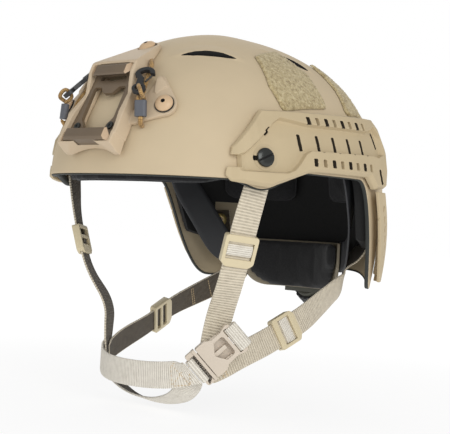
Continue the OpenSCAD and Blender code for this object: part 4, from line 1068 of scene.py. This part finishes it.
def web_section(w, t):
    """Cross-section of webbing: flat faces, round selvedges."""
    e = t * 0.5
    half = w / 2 - e
    pts = [(x, -t / 2) for x in np.linspace(-half, half, 9)]
    pts += [(half + e * math.sin(a), -e * math.cos(a)) for a in np.linspace(0, math.pi, 6)[1:-1]]
    pts += [(x, t / 2) for x in np.linspace(half, -half, 9)]
    pts += [(-half - e * math.sin(a), e * math.cos(a)) for a in np.linspace(0, math.pi, 6)[1:-1]]
    return np.array(pts)


def strap_shape(path, wave, seed):
    """Frames along a strap, with the small unevenness that worn webbing has."""
    c, along, side, up, run = strap_frames(path)
    rng = np.random.default_rng(seed)
    phase = rng.uniform(0, 6.28, 3)
    ends = smooth(run / 12) * smooth((run[-1] - run) / 12)
    lift = wave * (np.sin(run / 19 + phase[0]) + 0.6 * np.sin(run / 7.3 + phase[1])) * ends
    twist = 0.17 * wave * np.sin(run / 23 + phase[2]) * ends
    return c, along, side, up, run, lift, twist


def strap(name, node_name, path, mats, body="helmet", s=1, wave=0.12, seed=3, section=None,
          start_side=None, reach=16.0):
    """Webbing along a path: one material on its outer face and selvedges, the other on its inner face."""
    c, along, side, up, run, lift, twist = strap_shape(path, wave, seed)
    if start_side is not None:
        # The start is sewn round a bar that lies askew, so its edge turns to the bar's direction
        bar = np.asarray(start_side) * np.sign(side[0] @ start_side)
        side = mix(bar[None], side, smooth(run / reach)[:, None])
    sec = web_section(STRAP_W, STRAP_T) if section is None else section
    rounding = smooth(run / 2.2) * smooth((run[-1] - run) / 2.2)
    across = sec[:, 0][None] * (0.97 + 0.03 * rounding[:, None])
    high = sec[:, 1][None] * (0.55 + 0.45 * rounding[:, None])
    pts = (c[:, None] + side[:, None] * across[..., None]
           + up[:, None] * (high + lift[:, None] + twist[:, None] * across)[..., None])
    n, k = pts.shape[:2]
    uv = np.stack([np.repeat(run * MM, k), np.tile(sec[:, 0] * MM, n)], -1)
    obj = make(name, pts.reshape(-1, 3), quads(n, k) + end_faces(n, k), mats, body, uv, s)
    obj.data.polygons.foreach_set("material_index", [int(j < 8) for j in range(k)] * (n - 1) + [0, 0])
    smooth_by_angle(obj, 60)
    dress(obj, node_name)


def at_run(q, run, values):
    return np.array([np.interp(q, run, values[:, i]) for i in range(3)])


# A stitch's stations as (share of its length, height over the cloth, share of its thickness)
STITCH = ((-0.5, -0.16, 0.5), (-0.3, 0.06, 0.95), (0, 0.12, 1), (0.3, 0.06, 0.95), (0.5, -0.16, 0.5))
STITCH_TUBE = quads(len(STITCH), 6) + end_faces(len(STITCH), 6)


def stitching(name, lines, s=1, pitch=2.6, length=1.9, r=0.24):
    """Stitches laid along lines of (points, normals): short threads that dip in at both ends."""
    verts, faces = [], []
    for pts, nrm in lines:
        pts, nrm = np.asarray(pts, float), np.asarray(nrm, float)
        run = np.concatenate([[0], np.cumsum(np.linalg.norm(np.diff(pts, axis=0), axis=1))])
        count = int(run[-1] // pitch)
        for m in range(count):
            mid = (m + 0.5) * run[-1] / max(count, 1)
            stations = []
            for f, high, fat in STITCH:
                n = unit(at_run(mid + f * length, run, nrm))
                stations.append((at_run(mid + f * length, run, pts) + n * high, n, fat))
            along = unit(stations[-1][0] - stations[0][0])
            faces += [tuple(len(verts) + v for v in f) for f in STITCH_TUBE]
            for at, n, fat in stations:
                side = np.cross(along, n)
                for a in range(6):
                    c, d = math.cos(a * math.pi / 3), math.sin(a * math.pi / 3)
                    verts.append(at + r * fat * (side * c + n * d))
    make(name, verts, faces, mat_thread, s=s)


def strap_lines(path, seed, marks, wave=0.12, face=1):
    """Lines over a strap's face from marks of (run, across) pairs."""
    c, along, side, up, run, lift, twist = strap_shape(path, wave, seed)
    lines = []
    for mark in marks:
        pts, nrm = [], []
        for (r0, x0), (r1, x1) in zip(mark[:-1], mark[1:]):
            steps = max(2, int(abs(r1 - r0) + abs(x1 - x0)))
            for q in np.linspace(0, 1, steps, endpoint=False):
                r, x = mix(r0, r1, q), mix(x0, x1, q)
                r = r if r >= 0 else run[-1] + r
                n = unit(at_run(r, run, up))
                h = np.interp(r, run, lift) + np.interp(r, run, twist) * x
                pts.append(at_run(r, run, c) + unit(at_run(r, run, side)) * x + n * (h + face * STRAP_T / 2))
                nrm.append(n * face)
        lines.append((pts, nrm))
    return lines


def rows_across(runs, half=9):
    return [[(r, -half), (r, half)] for r in runs]


def box_marks(r0, r1, half=8.3):
    """Box stitch with a cross, between two places along a strap."""
    ends = ((-half, -half), (half, half), (-half, half), (half, -half))
    return rows_across((r0, r1), half) + [[(r0, a), (r1, b)] for a, b in ends]


# The straps' inner faces take the dark painted shade
WEB = (mat_web_tan, mat_web_inner_shade)
WEB_PALE = (mat_web_pale, mat_web_inner_shade)
FRONT_PATHS = {1: FRONT_PATH, -1: FRONT_PATH_RIGHT}
BAR_SIDE = BUCKLE_FRAME[0]
for side_name, s in SIDES:
    strap("web_front_" + side_name, "front_strap_" + side_name, FRONT_PATHS[s], WEB, s=s,
          wave=0.0)
    strap("web_rear_" + side_name, "rear_strap_" + side_name, REAR_PATH, WEB, s=s, seed=5)
strap("web_chin_upper", "chin_strap_upper", CHIN_UPPER_PATH, WEB_PALE, seed=7,
      start_side=BAR_SIDE)
strap("web_chin_lower", "chin_strap_lower", CHIN_LOWER_PATH, WEB_PALE, seed=8,
      start_side=BAR_SIDE)
for side_name, s in SIDES:
    rear = strap_lines(REAR_PATH, 5, rows_across((-9, -12)))
    rear += strap_lines(REAR_PATH, 5, rows_across((103, 122, 124), 8.6), face=-1)
    stitching("stitches_rear_" + side_name, rear, s, 2.3, r=0.36)
    front = strap_lines(FRONT_PATHS[s], 3, rows_across((-8, -11)), wave=0.0)
    stitching("stitches_front_" + side_name, front, s)
stitching("stitches_chin_upper", strap_lines(CHIN_UPPER_PATH, 7, box_marks(3, 17)))
stitching("stitches_chin_end", strap_lines(CHIN_UPPER_PATH, 7, rows_across((-4, -7))))


# Headband: plastic straps with a rim along both sides
def rimmed_section(w, t):
    half, e = w / 2, t / 2
    low = [(x, -e) for x in np.linspace(-half + 0.5, half - 0.5, 9)]
    right = [(half - 0.1, -e + 0.4), (half, 0), (half - 0.1, e - 0.4), (half - 0.5, e)]
    floor_of_band = [(half * f, e - 0.6) for f in (0.5, 0.25, 0, -0.25, -0.5)]
    top = [(half - 1.6, e), (half - 2.1, e - 0.55), *floor_of_band, (-half + 2.1, e - 0.55), (-half + 1.6, e)]
    left = [(-half + 0.5, e), (-half + 0.1, e - 0.4), (-half, 0), (-half + 0.1, -e + 0.4)]
    return np.array(low + right + top + left)


BAND_OFF = LINER_IN - FACET_SAG - 2.5 - BAND_T / 2
BAND_PATH = [
    on_wall(57, 24, BAND_OFF), on_wall(62, 6, BAND_OFF), with_out([82, 77, -25], [0.9, 0.4, 0.1]),
    with_out([69.5, 90, -53], [0.8, 0.6, 0]), on_ring(53, -56, BAND_R), on_ring(42, -56, BAND_R),
]
for side_name, s in SIDES:
    strap("band_" + side_name, "headband_" + side_name, BAND_PATH, (mat_band, mat_band), s=s,
          wave=0.0, section=rimmed_section(BAND_W, BAND_T))


# Pads: closed cushions inflated against what carries them
PAD_VOXEL = 3.4
SIM_FRAMES = 20
PAD_PRESSURE = 4.0
CLOTH = {"quality": 6, "mass": 0.3, "tension_stiffness": 14, "compression_stiffness": 14,
         "shear_stiffness": 6, "bending_stiffness": 0.6, "use_pressure": True,
         "uniform_pressure_force": PAD_PRESSURE, "vertex_group_mass": "held", "pin_stiffness": 2.0}


def triples(items, key):
    """A property of each item, as rows of three."""
    values = np.empty(len(items) * 3)
    items.foreach_get(key, values)
    return values.reshape(-1, 3)


def puffed(obj, rest, held, cap):
    """The pad's points after a cloth run under pressure, none moved by more than the cap."""
    group = obj.vertex_groups.new(name="held")
    for i, h in enumerate(held):
        if h > 0:
            group.add([i], float(h), "REPLACE")
    cloth = obj.modifiers.new("puff", "CLOTH")
    for key, value in CLOTH.items():
        setattr(cloth.settings, key, value)
    cloth.settings.effector_weights.gravity = 0
    cloth.point_cache.frame_start = 1
    cloth.point_cache.frame_end = SIM_FRAMES
    for f in range(1, SIM_FRAMES + 1):
        SCENE.frame_set(f)
    graph = bpy.context.evaluated_depsgraph_get()
    step = triples(obj.evaluated_get(graph).to_mesh().vertices, "co") - rest
    obj.evaluated_get(graph).to_mesh_clear()
    obj.modifiers.clear()
    obj.vertex_groups.clear()
    SCENE.frame_set(1)
    far = np.linalg.norm(step, axis=1, keepdims=True)
    return rest + step * np.minimum(1, cap * MM / np.maximum(far, 1e-9))


def inflate(obj, wall, cap, keep_off=0.35, pin_within=1.6):
    """Remeshes the pad, puffs it up with its back held, and keeps it off the wall behind it."""
    modify(obj, "remesh", "REMESH", mode="VOXEL", voxel_size=PAD_VOXEL * MM)
    apply_modifiers(obj)
    mesh = obj.data
    rest = triples(mesh.vertices, "co")
    nrm = triples(mesh.vertices, "normal")
    gap = np.array([wall.find_nearest(Vector(v))[3] for v in rest]) / MM
    held = np.clip(1 - (gap - pin_within) / 1.5, 0, 1)
    moved = puffed(obj, rest, held, cap)
    mesh.vertices.foreach_set("co", moved.ravel())
    mesh.update()
    modify(obj, "finer", "SUBSURF", levels=1, render_levels=1)
    apply_modifiers(obj)
    for v in obj.data.vertices:
        at, n, _, dist = wall.find_nearest(v.co)
        if (v.co - at).dot(n) < keep_off * MM and dist < 12 * MM:
            v.co = at + n * keep_off * MM
    shade_smooth(obj.data)
    obj.data.update()


WELT_R = 0.65
WELT_PROUD = 0.25


def piping(name, path, surface):
    """A sewn welt that follows a closed path over a pad."""
    bm = bmesh.new()
    bm.from_mesh(surface.data)
    tree = BVHTree.FromBMesh(bm)
    bm.free()
    pts = []
    for p in path:
        at, n, _, _ = tree.find_nearest(Vector(np.asarray(p) * MM))
        pts.append(np.array(at + n * WELT_PROUD * MM) / MM)
    pts = np.array(pts)
    for _ in range(2):
        pts = (np.roll(pts, 1, 0) + 2 * pts + np.roll(pts, -1, 0)) / 4
    along = unit(np.roll(pts, -1, 0) - np.roll(pts, 1, 0))
    side = unit(np.cross(along, unit(np.array([tree.find_nearest(Vector(p * MM))[1] for p in pts]))))
    turns = np.linspace(0, 2 * np.pi, 8, endpoint=False)
    ring = pts[:, None] + WELT_R * rings(side, np.cross(side, along), turns)
    obj = make(name, ring.reshape(-1, 3), quads(*ring.shape[:2], loop=True), mat_welt)
    face_out(obj)


def patch_points(phi, t, q, theta, power=5.0):
    """Angles on the egg inside a patch: q runs from its middle to its rounded border."""
    c, s = np.cos(theta), np.sin(theta)
    k = (np.abs(c) ** power + np.abs(s) ** power) ** (-1 / power)
    u, v = 0.5 + 0.5 * q * k * c, 0.5 + 0.5 * q * k * s
    return mix(phi[0], phi[1], u), mix(t[0], t[1], v)


PAD_RINGS = 12
PAD_SIDES = 72
PAD_SHRINK = 1.2


def egg_pad(name, node_name, phi, t, o_base, o_top, cap, s=1):
    """Cushion on the liner over a patch of the egg; without a phi it is an oval one at the crown."""
    theta = np.linspace(0, 2 * np.pi, PAD_SIDES, endpoint=False)

    def at(q, o):
        if phi is None:
            return egg(-np.degrees(theta), np.full(PAD_SIDES, max(t * q, 0.004)), o)
        return egg(*patch_points(phi, t, q, theta), o)

    edge = 1 - PAD_SHRINK / 32
    top = [at(edge * q, o_base + (o_top + PAD_SHRINK - o_base) * (0.3 + 0.7 * (1 - q ** 3.2) ** (1 / 2.2)))
           for q in np.linspace(0.02, 1, PAD_RINGS)]
    base = [at(edge * q, o_base - 0.3) for q in np.linspace(1, 0.02, PAD_RINGS)]
    n, k = 2 * PAD_RINGS, PAD_SIDES
    faces = quads(n, k, down=True) + [f[::-1] for f in end_faces(n, k)]
    obj = make(name, flip(np.concatenate(top + base), s), faces, mat_pad)
    face_out(obj)
    inflate(obj, liner_tree, cap)
    dress(obj, node_name)
    border = flip(at(1.0, mix(o_base, o_top, 0.45)), s)
    fine = np.stack([border, mix(border, np.roll(border, -1, 0), 0.5)], 1).reshape(-1, 3)
    piping(name + "_welt", fine, obj)


def wall_tree(pts, faces, probe, outward):
    """Search tree over a wall of points in metres, whose faces look away from outward at the probe."""
    pts = [Vector(p) for p in pts]
    tree = BVHTree.FromPolygons(pts, faces)
    if tree.find_nearest(Vector(probe))[1].dot(Vector(outward)) > 0:
        tree = BVHTree.FromPolygons(pts, [f[::-1] for f in faces])
    return tree


# The liner's own inner face, facing the head, is what the pads rest on
a, b = np.meshgrid(np.linspace(-180, 180, 180, endpoint=False), np.linspace(0.004, 1.3, 60))
liner_tree = wall_tree((egg(a, b, LINER_IN) * MM).reshape(-1, 3), quads(*a.shape),
                       Vector((LINER_IN + SHELL_HALF_W, 0, 0)) * MM, (1, 0, 0))
PAD_TOP = PAD_OUT - PAD_T
SIDE_FOOT = PAD_OUT - 0.25
REAR_TOP = PAD_OUT - PAD_T * 0.8
egg_pad("pad_brow", "brow_pad", (-52, 52), (0.86, 1.06), PAD_OUT, PAD_TOP, 2.2)
egg_pad("pad_crown", "crown_pad", None, 0.36, PAD_OUT, PAD_TOP, 3.0)
for side_name, s in SIDES:
    egg_pad("pad_side_" + side_name, "side_pad_" + side_name, (68, 106), (0.52, 0.86), SIDE_FOOT, PAD_TOP,
            1.8, s)
    egg_pad("pad_rear_" + side_name, "rear_pad_" + side_name, (132, 174), (0.66, 1.12), PAD_OUT, REAR_TOP,
            2.2, s)

# Nape cushion: the source's ring, puffed up against the frame behind it
cushion = copy_of("cradle_pad", "pad_cradle", mat_cradle_fabric, "cradle")
with edited(cushion) as bm:
    for v in bm.verts:
        v.co -= v.normal * 0.8 * MM
ring_r = (FRAME_R - 0.4) * MM
frame_wall = [(ring_r * math.sin(x), CRADLE_Y * MM + ring_r * math.cos(x), h)
              for h in (-0.120, -0.010) for x in np.radians(np.linspace(-75, 75, 121))]
frame_tree = wall_tree(frame_wall, quads(2, 121, ring=False), (0, CRADLE_Y * MM + ring_r, -0.06), (0, 1, 0))
inflate(cushion, frame_tree, 1.6, keep_off=0.15, pin_within=1.4)


# Moulded and metal parts that keep the source's shape, with eased edges
RAIL_SLOTS = 8
RAIL_PITCH = 10.8
# Slots as (y, z, width, height, lean in degrees): web, lip, square window, key slot and rear loops
LIP_SLOTS = [(RAIL_PITCH * i - 27.7, z, 4.2, 5.6, 0)
             for i in range(RAIL_SLOTS) for z in (46.2 + 0.4 * i, 15.4 + 0.2 * i)]
# These through slots get painted shade on their walls and the painted shadow sheet behind them
DARK_SLOTS = [(-38 + 20.3 * i, 29 + 0.75 * i, 3.2, 12, 3) for i in range(5)]
DARK_SLOTS += LIP_SLOTS[0::4] + LIP_SLOTS[1::4]
DARK_SLOTS += [(-68, 34.8, 4.8, 4.8, 40), (-77.6, 15, 4, 3.2, 0), (72.5, 40, 3.6, 13, 12),
               (67.5, 11, 4.2, 12, 16)]


def in_slot(y, z, slot, spare):
    """Whether points lie in a slot seen from the side, with some spare round it."""
    a = math.radians(slot[4])
    u = (y - slot[0]) * math.cos(a) + (z - slot[1]) * math.sin(a)
    v = (z - slot[1]) * math.cos(a) - (y - slot[0]) * math.sin(a)
    return (np.abs(u) < slot[2] / 2 + spare) & (np.abs(v) < slot[3] / 2 + spare)


def rail_shadow_sheet(side_name, s):
    """Thin dark sheet under the rail, seen through its slots: a painted shadow for the shade behind them."""
    ys, zs = np.arange(-84, 81, 0.7), np.arange(0, 56, 0.7)
    gy, gz = np.meshgrid(ys, zs, indexing="ij")
    kept = np.any([in_slot(gy, gz, slot, 1.3) for slot in DARK_SLOTS], axis=0)
    obj = make("rail_shadow_sheet_" + side_name, on_side(gy, gz, 0.1)[kept], kept_faces(kept), mat_shadow_sheet, s=s)
    with edited(obj) as bm:
        drop_loose(bm)
    modify(obj, "thick", "SOLIDIFY", thickness=0.2 * MM, offset=1.0)
    apply_modifiers(obj)


def shade_slots(obj, s):
    """Paints the walls of the through slots dark, as the shade inside them."""
    mesh = obj.data
    mesh.materials.append(mat_slot_shade)
    mid = flip(triples(mesh.polygons, "center") / MM, s)
    nrm = flip(triples(mesh.polygons, "normal"), s)
    dark = np.any([in_slot(mid[:, 1], mid[:, 2], slot, 0.3) for slot in DARK_SLOTS], axis=0)
    # Only what faces along the skin, below the rail's outer face
    dark &= (nrm * side_normal(mid[:, 1], mid[:, 2])).sum(1) < 0.55
    mesh.polygons.foreach_set("material_index", dark.astype(np.int32))


def aim_frame(n):
    """Frame whose third axis is n, turned as the source turns its pieces."""
    a = math.atan2(n[1], n[0])
    b = math.acos(n[2] / np.linalg.norm(n))
    x = np.array([math.cos(a) * math.cos(b), math.sin(a) * math.cos(b), -math.sin(b)])
    y = np.array([-math.sin(a), math.cos(a), 0])
    return np.stack([x, y, unit(n)])


def slot_cutter(at, n, width, floor_h, turn):
    """Box that cuts a screwdriver's slot into a head; the slot's walls take the dark painted shade."""
    f = aim_frame(n)
    c, d = math.cos(math.radians(turn)), math.sin(math.radians(turn))
    x, y = f[0] * c + f[1] * d, f[1] * c - f[0] * d
    corners = ((-1, -1), (1, -1), (1, 1), (-1, 1))
    return cutter([[place(at, (x, y, f[2]), a * width / 2, b * 20, h) for a, b in corners]
                   for h in (floor_h, floor_h + 6)], mat_recess_shade)


def turned(name, node_name, spots, profile, mat, sides=48, hexed=0, slotted=None):
    """Round fittings from a profile of (radius, height, dark), with a hexagon socket or a slot if asked; the
    dark rings and the slot's walls get painted shade.
    """
    verts, faces = [], []
    for at, n in spots:
        f = aim_frame(n)
        faces += [tuple(len(verts) + v for v in q) for q in quads(len(profile), sides)]
        for r, h, dark in profile:
            for a in 2 * math.pi * np.arange(sides) / sides:
                flat = math.cos(math.pi / 6) / math.cos((a % (math.pi / 3)) - math.pi / 6)
                q = r * flat if 0 < r <= hexed else r
                verts.append(place(at, f, q * math.cos(a), q * math.sin(a), h))
    obj = make(name, verts, faces, (mat, mat_recess_shade))
    index = [int(p[2] and q[2]) for p, q in zip(profile, profile[1:]) for _ in range(sides)]
    obj.data.polygons.foreach_set("material_index", index * len(spots))
    with edited(obj) as bm:
        bmesh.ops.remove_doubles(bm, verts=bm.verts, dist=1e-6)
        bmesh.ops.recalc_face_normals(bm, faces=bm.faces)
    if slotted:
        cut(obj, [slot_cutter(at, n, *slotted) for at, n in spots])
    smooth_by_angle(obj, 32)
    dress(obj, node_name)


SCREW_SEAT = 3.8
SCREW_R = 6.6
SHANK_R = 2.45
FRONT_NUT_Z = -4.3
NUT_H = 3.0
RAIL_BOLT = (-69, 15.3)
REAR_BOLT = (107, -29)
BOLT_R = 6.6
SIDE_NUT_Z = STRAP_OFF - STRAP_T / 2 - 1.05
DOME_EDGE = math.radians(72)


def shank(foot, top):
    return [(0, foot), (SHANK_R, foot), (SHANK_R, top)]


def screw_profile():
    dome = [(SCREW_R * math.sin(a) / math.sin(DOME_EDGE),
             SCREW_SEAT + 1.9 + 2.9 * (math.cos(a) - math.cos(DOME_EDGE)) / 0.691)
            for a in np.radians((72, 60, 48, 36, 26, 18))]
    foot = SCREW_SEAT + 0.95
    low = shank(FRONT_NUT_Z - NUT_H - 0.3, foot) + [(SCREW_R, foot), (SCREW_R, SCREW_SEAT + 1.75)]
    top = dome[-1][1] + 0.12
    socket = [(1.75, top, 1), (1.6, top - 0.35, 1), (1.6, SCREW_SEAT + 2.6, 1), (0, SCREW_SEAT + 2.5, 1)]
    return [(r, h, 0) for r, h in low + dome] + socket


def bolt_profile(seat, head):
    return [(r, h, 0) for r, h in shank(SIDE_NUT_Z - NUT_H - 0.3, seat) + head]


RAIL_HEAD = [(BOLT_R + 0.25, 3.5), (BOLT_R + 0.35, 3.8), (BOLT_R + 0.35, 4.6), (BOLT_R + 0.1, 5.1),
             (BOLT_R - 0.6, 5.5), (BOLT_R * 0.7, 5.95), (BOLT_R * 0.4, 6.15), (0, 6.2)]
FLAT_HEAD = [(BOLT_R - 1, SEAT), (BOLT_R - 1, SEAT + 1.6), (BOLT_R - 1.4, SEAT + 2), (0, SEAT + 2)]
front_spots = [(on_front(*b), front_normal(*b)) for b in FRONT_BOLTS]
rail_spots, rear_spots = ([(flip(on_side(*b), s), flip(side_normal(*b), s)) for s in (1, -1)]
                          for b in (RAIL_BOLT, REAR_BOLT))
turned("screw_heads", "shroud_screws", front_spots, screw_profile(), mat_screw, hexed=1.76)
turned("bolt_heads", "rail_bolts", rail_spots, bolt_profile(3.5, RAIL_HEAD), mat_black_screw,
       slotted=(1.5, 5.0, 25))
turned("bolt_heads_rear", "rail_bolts", rear_spots, bolt_profile(SEAT, FLAT_HEAD), mat_screw)

for side_name, s in SIDES:
    rail = moulded("rail_" + side_name, "rail_moulding_" + side_name, mat_rail, voxel=0.42)
    shade_slots(rail, s)
    moulded("rear_rail_" + side_name, "rail_leg_" + side_name, mat_rail)
    rail_shadow_sheet(side_name, s)
    hook = "cord_hook_" + side_name[0]
    gate = "hook_gate_" + side_name[0]
    moulded("hook_" + side_name, "hook_body_" + side_name, mat_hook, hook, 0.25, 5, 0.5)
    bevelled("gate_" + side_name, "hook_gate_" + side_name, mat_steel, "gate_steel", gate, 0.15)
    moulded("sleeve_" + side_name, "shrink_" + side_name, mat_sleeve, "helmet", 0.3, 7, 0.5)
moulded("shroud_body", "shroud_moulding", mat_shroud, "helmet", 0.45, 4, 0.4)

# Insert: its jaws end in lighter facets
SHROUD_MID = np.array([0, -136, 52.5])
SHROUD_TILT = math.radians(25)
SHROUD_FRAME = np.array([[1, 0, 0], [0, math.sin(SHROUD_TILT), math.cos(SHROUD_TILT)],
                         [0, -math.cos(SHROUD_TILT), math.sin(SHROUD_TILT)]])
INSERT_EDGE = 32.0
JAW_W = 50.0
JAW_H = 8.5
FACET = 5.0


def facet_cutter(x, y0, y1, s):
    """Wedge that takes the outer corner off a jaw's end."""
    outline = [(x - FACET, 0.0), (x - FACET, 4), (x + 4, 4), (x + 4, -FACET), (x, -FACET)]
    return cutter([[SHROUD_MID + np.array([s * a, y, b]) @ SHROUD_FRAME for a, b in outline]
                   for y in (y0, y1)], mat_facet)


insert = copy_of("shroud_insert", "insert_plate", mat_insert)
cut(insert, [facet_cutter(x, y0, y1, s) for s in (1, -1)
             for x, y0, y1 in ((JAW_W / 2, -INSERT_EDGE - 1, -INSERT_EDGE + JAW_H + 2),
                               (JAW_W / 2 - 4, INSERT_EDGE - JAW_H - 2, INSERT_EDGE + 1))])
round_edges(insert, 0.28, 2)

# CAD node, piece, material, slot, body, width of the rounded edge and its segments
HARDWARE = [
    ("insert_screws", "insert_screw_heads", mat_black_screw, "black_screw"),
    ("screw_washers", "washer_rings", mat_washer, "washer_rubber", "helmet", 0.15),
    ("anchor_nuts", "nuts", mat_brass, "nut_brass"),
    ("cradle_frame", "cradle_shell", mat_cradle, "cradle_plastic", "cradle", 0.4),
    ("dial_housing", "dial_case", mat_dial, "dial_plastic", "cradle", 0.4),
    ("dial_knob", "dial_grip", mat_knob, "knob_plastic", "dial", 0.5, 3),
    ("dial_spindle", "dial_pin", mat_steel, "spindle_steel", "dial"),
    ("adjuster_front_left", "slider_front_left", mat_adjuster, "adjuster_plastic", "adjuster_fl", 0.75, 3),
    ("adjuster_front_right", "slider_front_right", mat_adjuster, "adjuster_plastic", "adjuster_fr", 0.75, 3),
    ("adjuster_rear_left", "slider_rear_left", mat_adjuster, "adjuster_plastic", "adjuster_rl", 0.75, 3),
    ("adjuster_rear_right", "slider_rear_right", mat_adjuster, "adjuster_plastic", "adjuster_rr", 0.75, 3),
    ("buckle_female", "buckle_socket", mat_buckle, "buckle_plastic", "buckle_end", 0.5, 3),
    ("buckle_male", "buckle_plug", mat_buckle, "buckle_plastic", "helmet", 0.45, 3),
    ("prong_upper", "buckle_prong_upper", mat_buckle, "buckle_plastic", "prong_a", 0.4, 3),
    ("prong_lower", "buckle_prong_lower", mat_buckle, "buckle_plastic", "prong_b", 0.4, 3),
]
for row in HARDWARE:
    bevelled(*row)


# Webbing turned round the buckle's and the adjusters' bars
def tab_loop(name, node_name, box, body, seed):
    """Webbing sewn round a buckle's bar: a closed turn inside a box of (along, out) corners."""
    y0, z0, y1, z1 = box
    y0, z0, y1, z1 = y0 + 0.8, z0 + 0.8, y1 - 0.8, z1 - 0.8
    mid = (y0 + y1) / 2
    turns = [(mid, z0, 0, -1), (y1, z0, 1, -1), (y1, z1, 1, 1), (y0, z1, -1, 1), (y0, z0, -1, -1),
             (mid - 0.1, z0, 0, -1)]
    path = [with_out(by_buckle(0, y, z), unit(np.array([0, a, b]) @ BUCKLE_FRAME)) for y, z, a, b in turns]
    # The loop's inner face takes the darker tan webbing, as painted shade
    strap(name, node_name, path, (mat_web_pale, mat_web_tan), body=body, wave=0.0, seed=seed)


tab_loop("web_tab_female", "female_tab", (12.9, -3.9, 24, 5.7), "buckle_end", 1)
tab_loop("web_tab_male", "male_tab", (-23.4, -4.5, -17.1, 4.5), "helmet", 2)


FOLD_HALF_W = 9.6


def bar_fold(name, seg, out, body, s):
    """Webbing over an adjuster's middle bar: a pillow of strap in its window, with dark gaps beside it."""
    a, b = np.array(seg[0], float), np.array(seg[1], float)
    f = line_frame(b - a, out)
    ys = np.linspace(-4.9, 3.9, 15)
    rise = 0.95 + 1.35 * np.sqrt(np.maximum(0, 1 - (np.abs(ys + 0.5) / 4.45) ** 2.6))
    ring = list(zip(ys, rise)) + [(y, 0.92) for y in ys[::-1]]
    xs = np.linspace(-FOLD_HALF_W, FOLD_HALF_W, 9)
    pts = [place(mix(a, b, 0.5), f, x, y, z) for x in xs for y, z in ring]
    uv = np.array([[y * MM, x * MM] for x in xs for y, z in ring])
    n, k = len(xs), len(ring)
    obj = make(name, pts, quads(n, k) + end_faces(n, k), mat_web_pale, body, uv, s)
    face_out(obj)
    smooth_by_angle(obj, 50)


for side_name, s in SIDES:
    bar_fold("web_fold_front_" + side_name, ADJ_FRONT, ADJ_FRONT_OUT, "adjuster_f" + side_name[0], s)
    bar_fold("web_fold_rear_" + side_name, ADJ_REAR[::-1], ADJ_REAR_OUT, "adjuster_r" + side_name[0], s)


# Studio: pale floor that fades into a pale surround, soft lights
def floor():
    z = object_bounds()[0].z - 0.004
    mesh = bpy.data.meshes.new("floor")
    mesh.from_pydata([(x, y, z) for x, y in ((-6, -6), (6, -6), (6, 6), (-6, 6))], [], [(0, 1, 2, 3)])
    obj = bpy.data.objects.new("floor", mesh)
    SCENE.collection.objects.link(obj)
    mat = bpy.data.materials.new("floor")
    mat.use_nodes = True
    tree = mat.node_tree
    tree.nodes.clear()
    far = node(tree, "ShaderNodeVectorMath", operation="LENGTH")
    fade = node(tree, "ShaderNodeMapRange", interpolation_type="SMOOTHSTEP", From_Min=0.25, From_Max=0.75,
                To_Min=0.82)
    matt = node(tree, "ShaderNodeBsdfDiffuse", Color=(0.9, 0.9, 0.9, 1))
    glow = node(tree, "ShaderNodeEmission", Color=(1, 1, 1, 1), Strength=1.04)
    blend = node(tree, "ShaderNodeMixShader")
    for value, socket in ((node(tree, "ShaderNodeTexCoord").outputs["Object"], far.inputs[0]),
                          (far.outputs["Value"], fade.inputs["Value"]), (fade.outputs[0], blend.inputs[0]),
                          (matt.outputs[0], blend.inputs[1]), (glow.outputs[0], blend.inputs[2]),
                          (blend.outputs[0], node(tree, "ShaderNodeOutputMaterial").inputs[0])):
        tree.links.new(value, socket)
    mesh.materials.append(mat)
    obj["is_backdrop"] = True


def area_light(name, at, side, power):
    data = bpy.data.lights.new(name, "AREA")
    data.shape = "RECTANGLE"
    data.size = side
    data.size_y = side
    data.energy = power
    obj = bpy.data.objects.new(name, data)
    obj.location = at
    obj.rotation_euler = (-Vector(at)).to_track_quat("-Z", "Y").to_euler()
    SCENE.collection.objects.link(obj)


# The surround is white to the camera, and a softer light for everything else
SOFT_LIGHT = 0.5
floor()
world = bpy.data.worlds.new("studio")
world.use_nodes = True
sky = world.node_tree
seen = sky.nodes["Background"]
seen.inputs["Strength"].default_value = 1.0
seen.inputs["Color"].default_value = (1, 1, 1, 1)
soft = node(sky, "ShaderNodeBackground", Color=(1, 1, 1, 1), Strength=SOFT_LIGHT)
either = node(sky, "ShaderNodeMixShader")
for value, socket in ((node(sky, "ShaderNodeLightPath").outputs["Is Camera Ray"], either.inputs[0]),
                      (soft.outputs[0], either.inputs[1]), (seen.outputs[0], either.inputs[2]),
                      (either.outputs[0], sky.nodes["World Output"].inputs[0])):
    sky.links.new(value, socket)
SCENE.world = world
area_light("key", (1.35, -0.75, 0.55), 0.9, 10.5)
area_light("fill", (-0.4, -1.5, 0.5), 0.9, 1.6)
area_light("rim", (-0.9, 0.9, 0.9), 0.8, 4)
SCENE.view_settings.view_transform = "Standard"
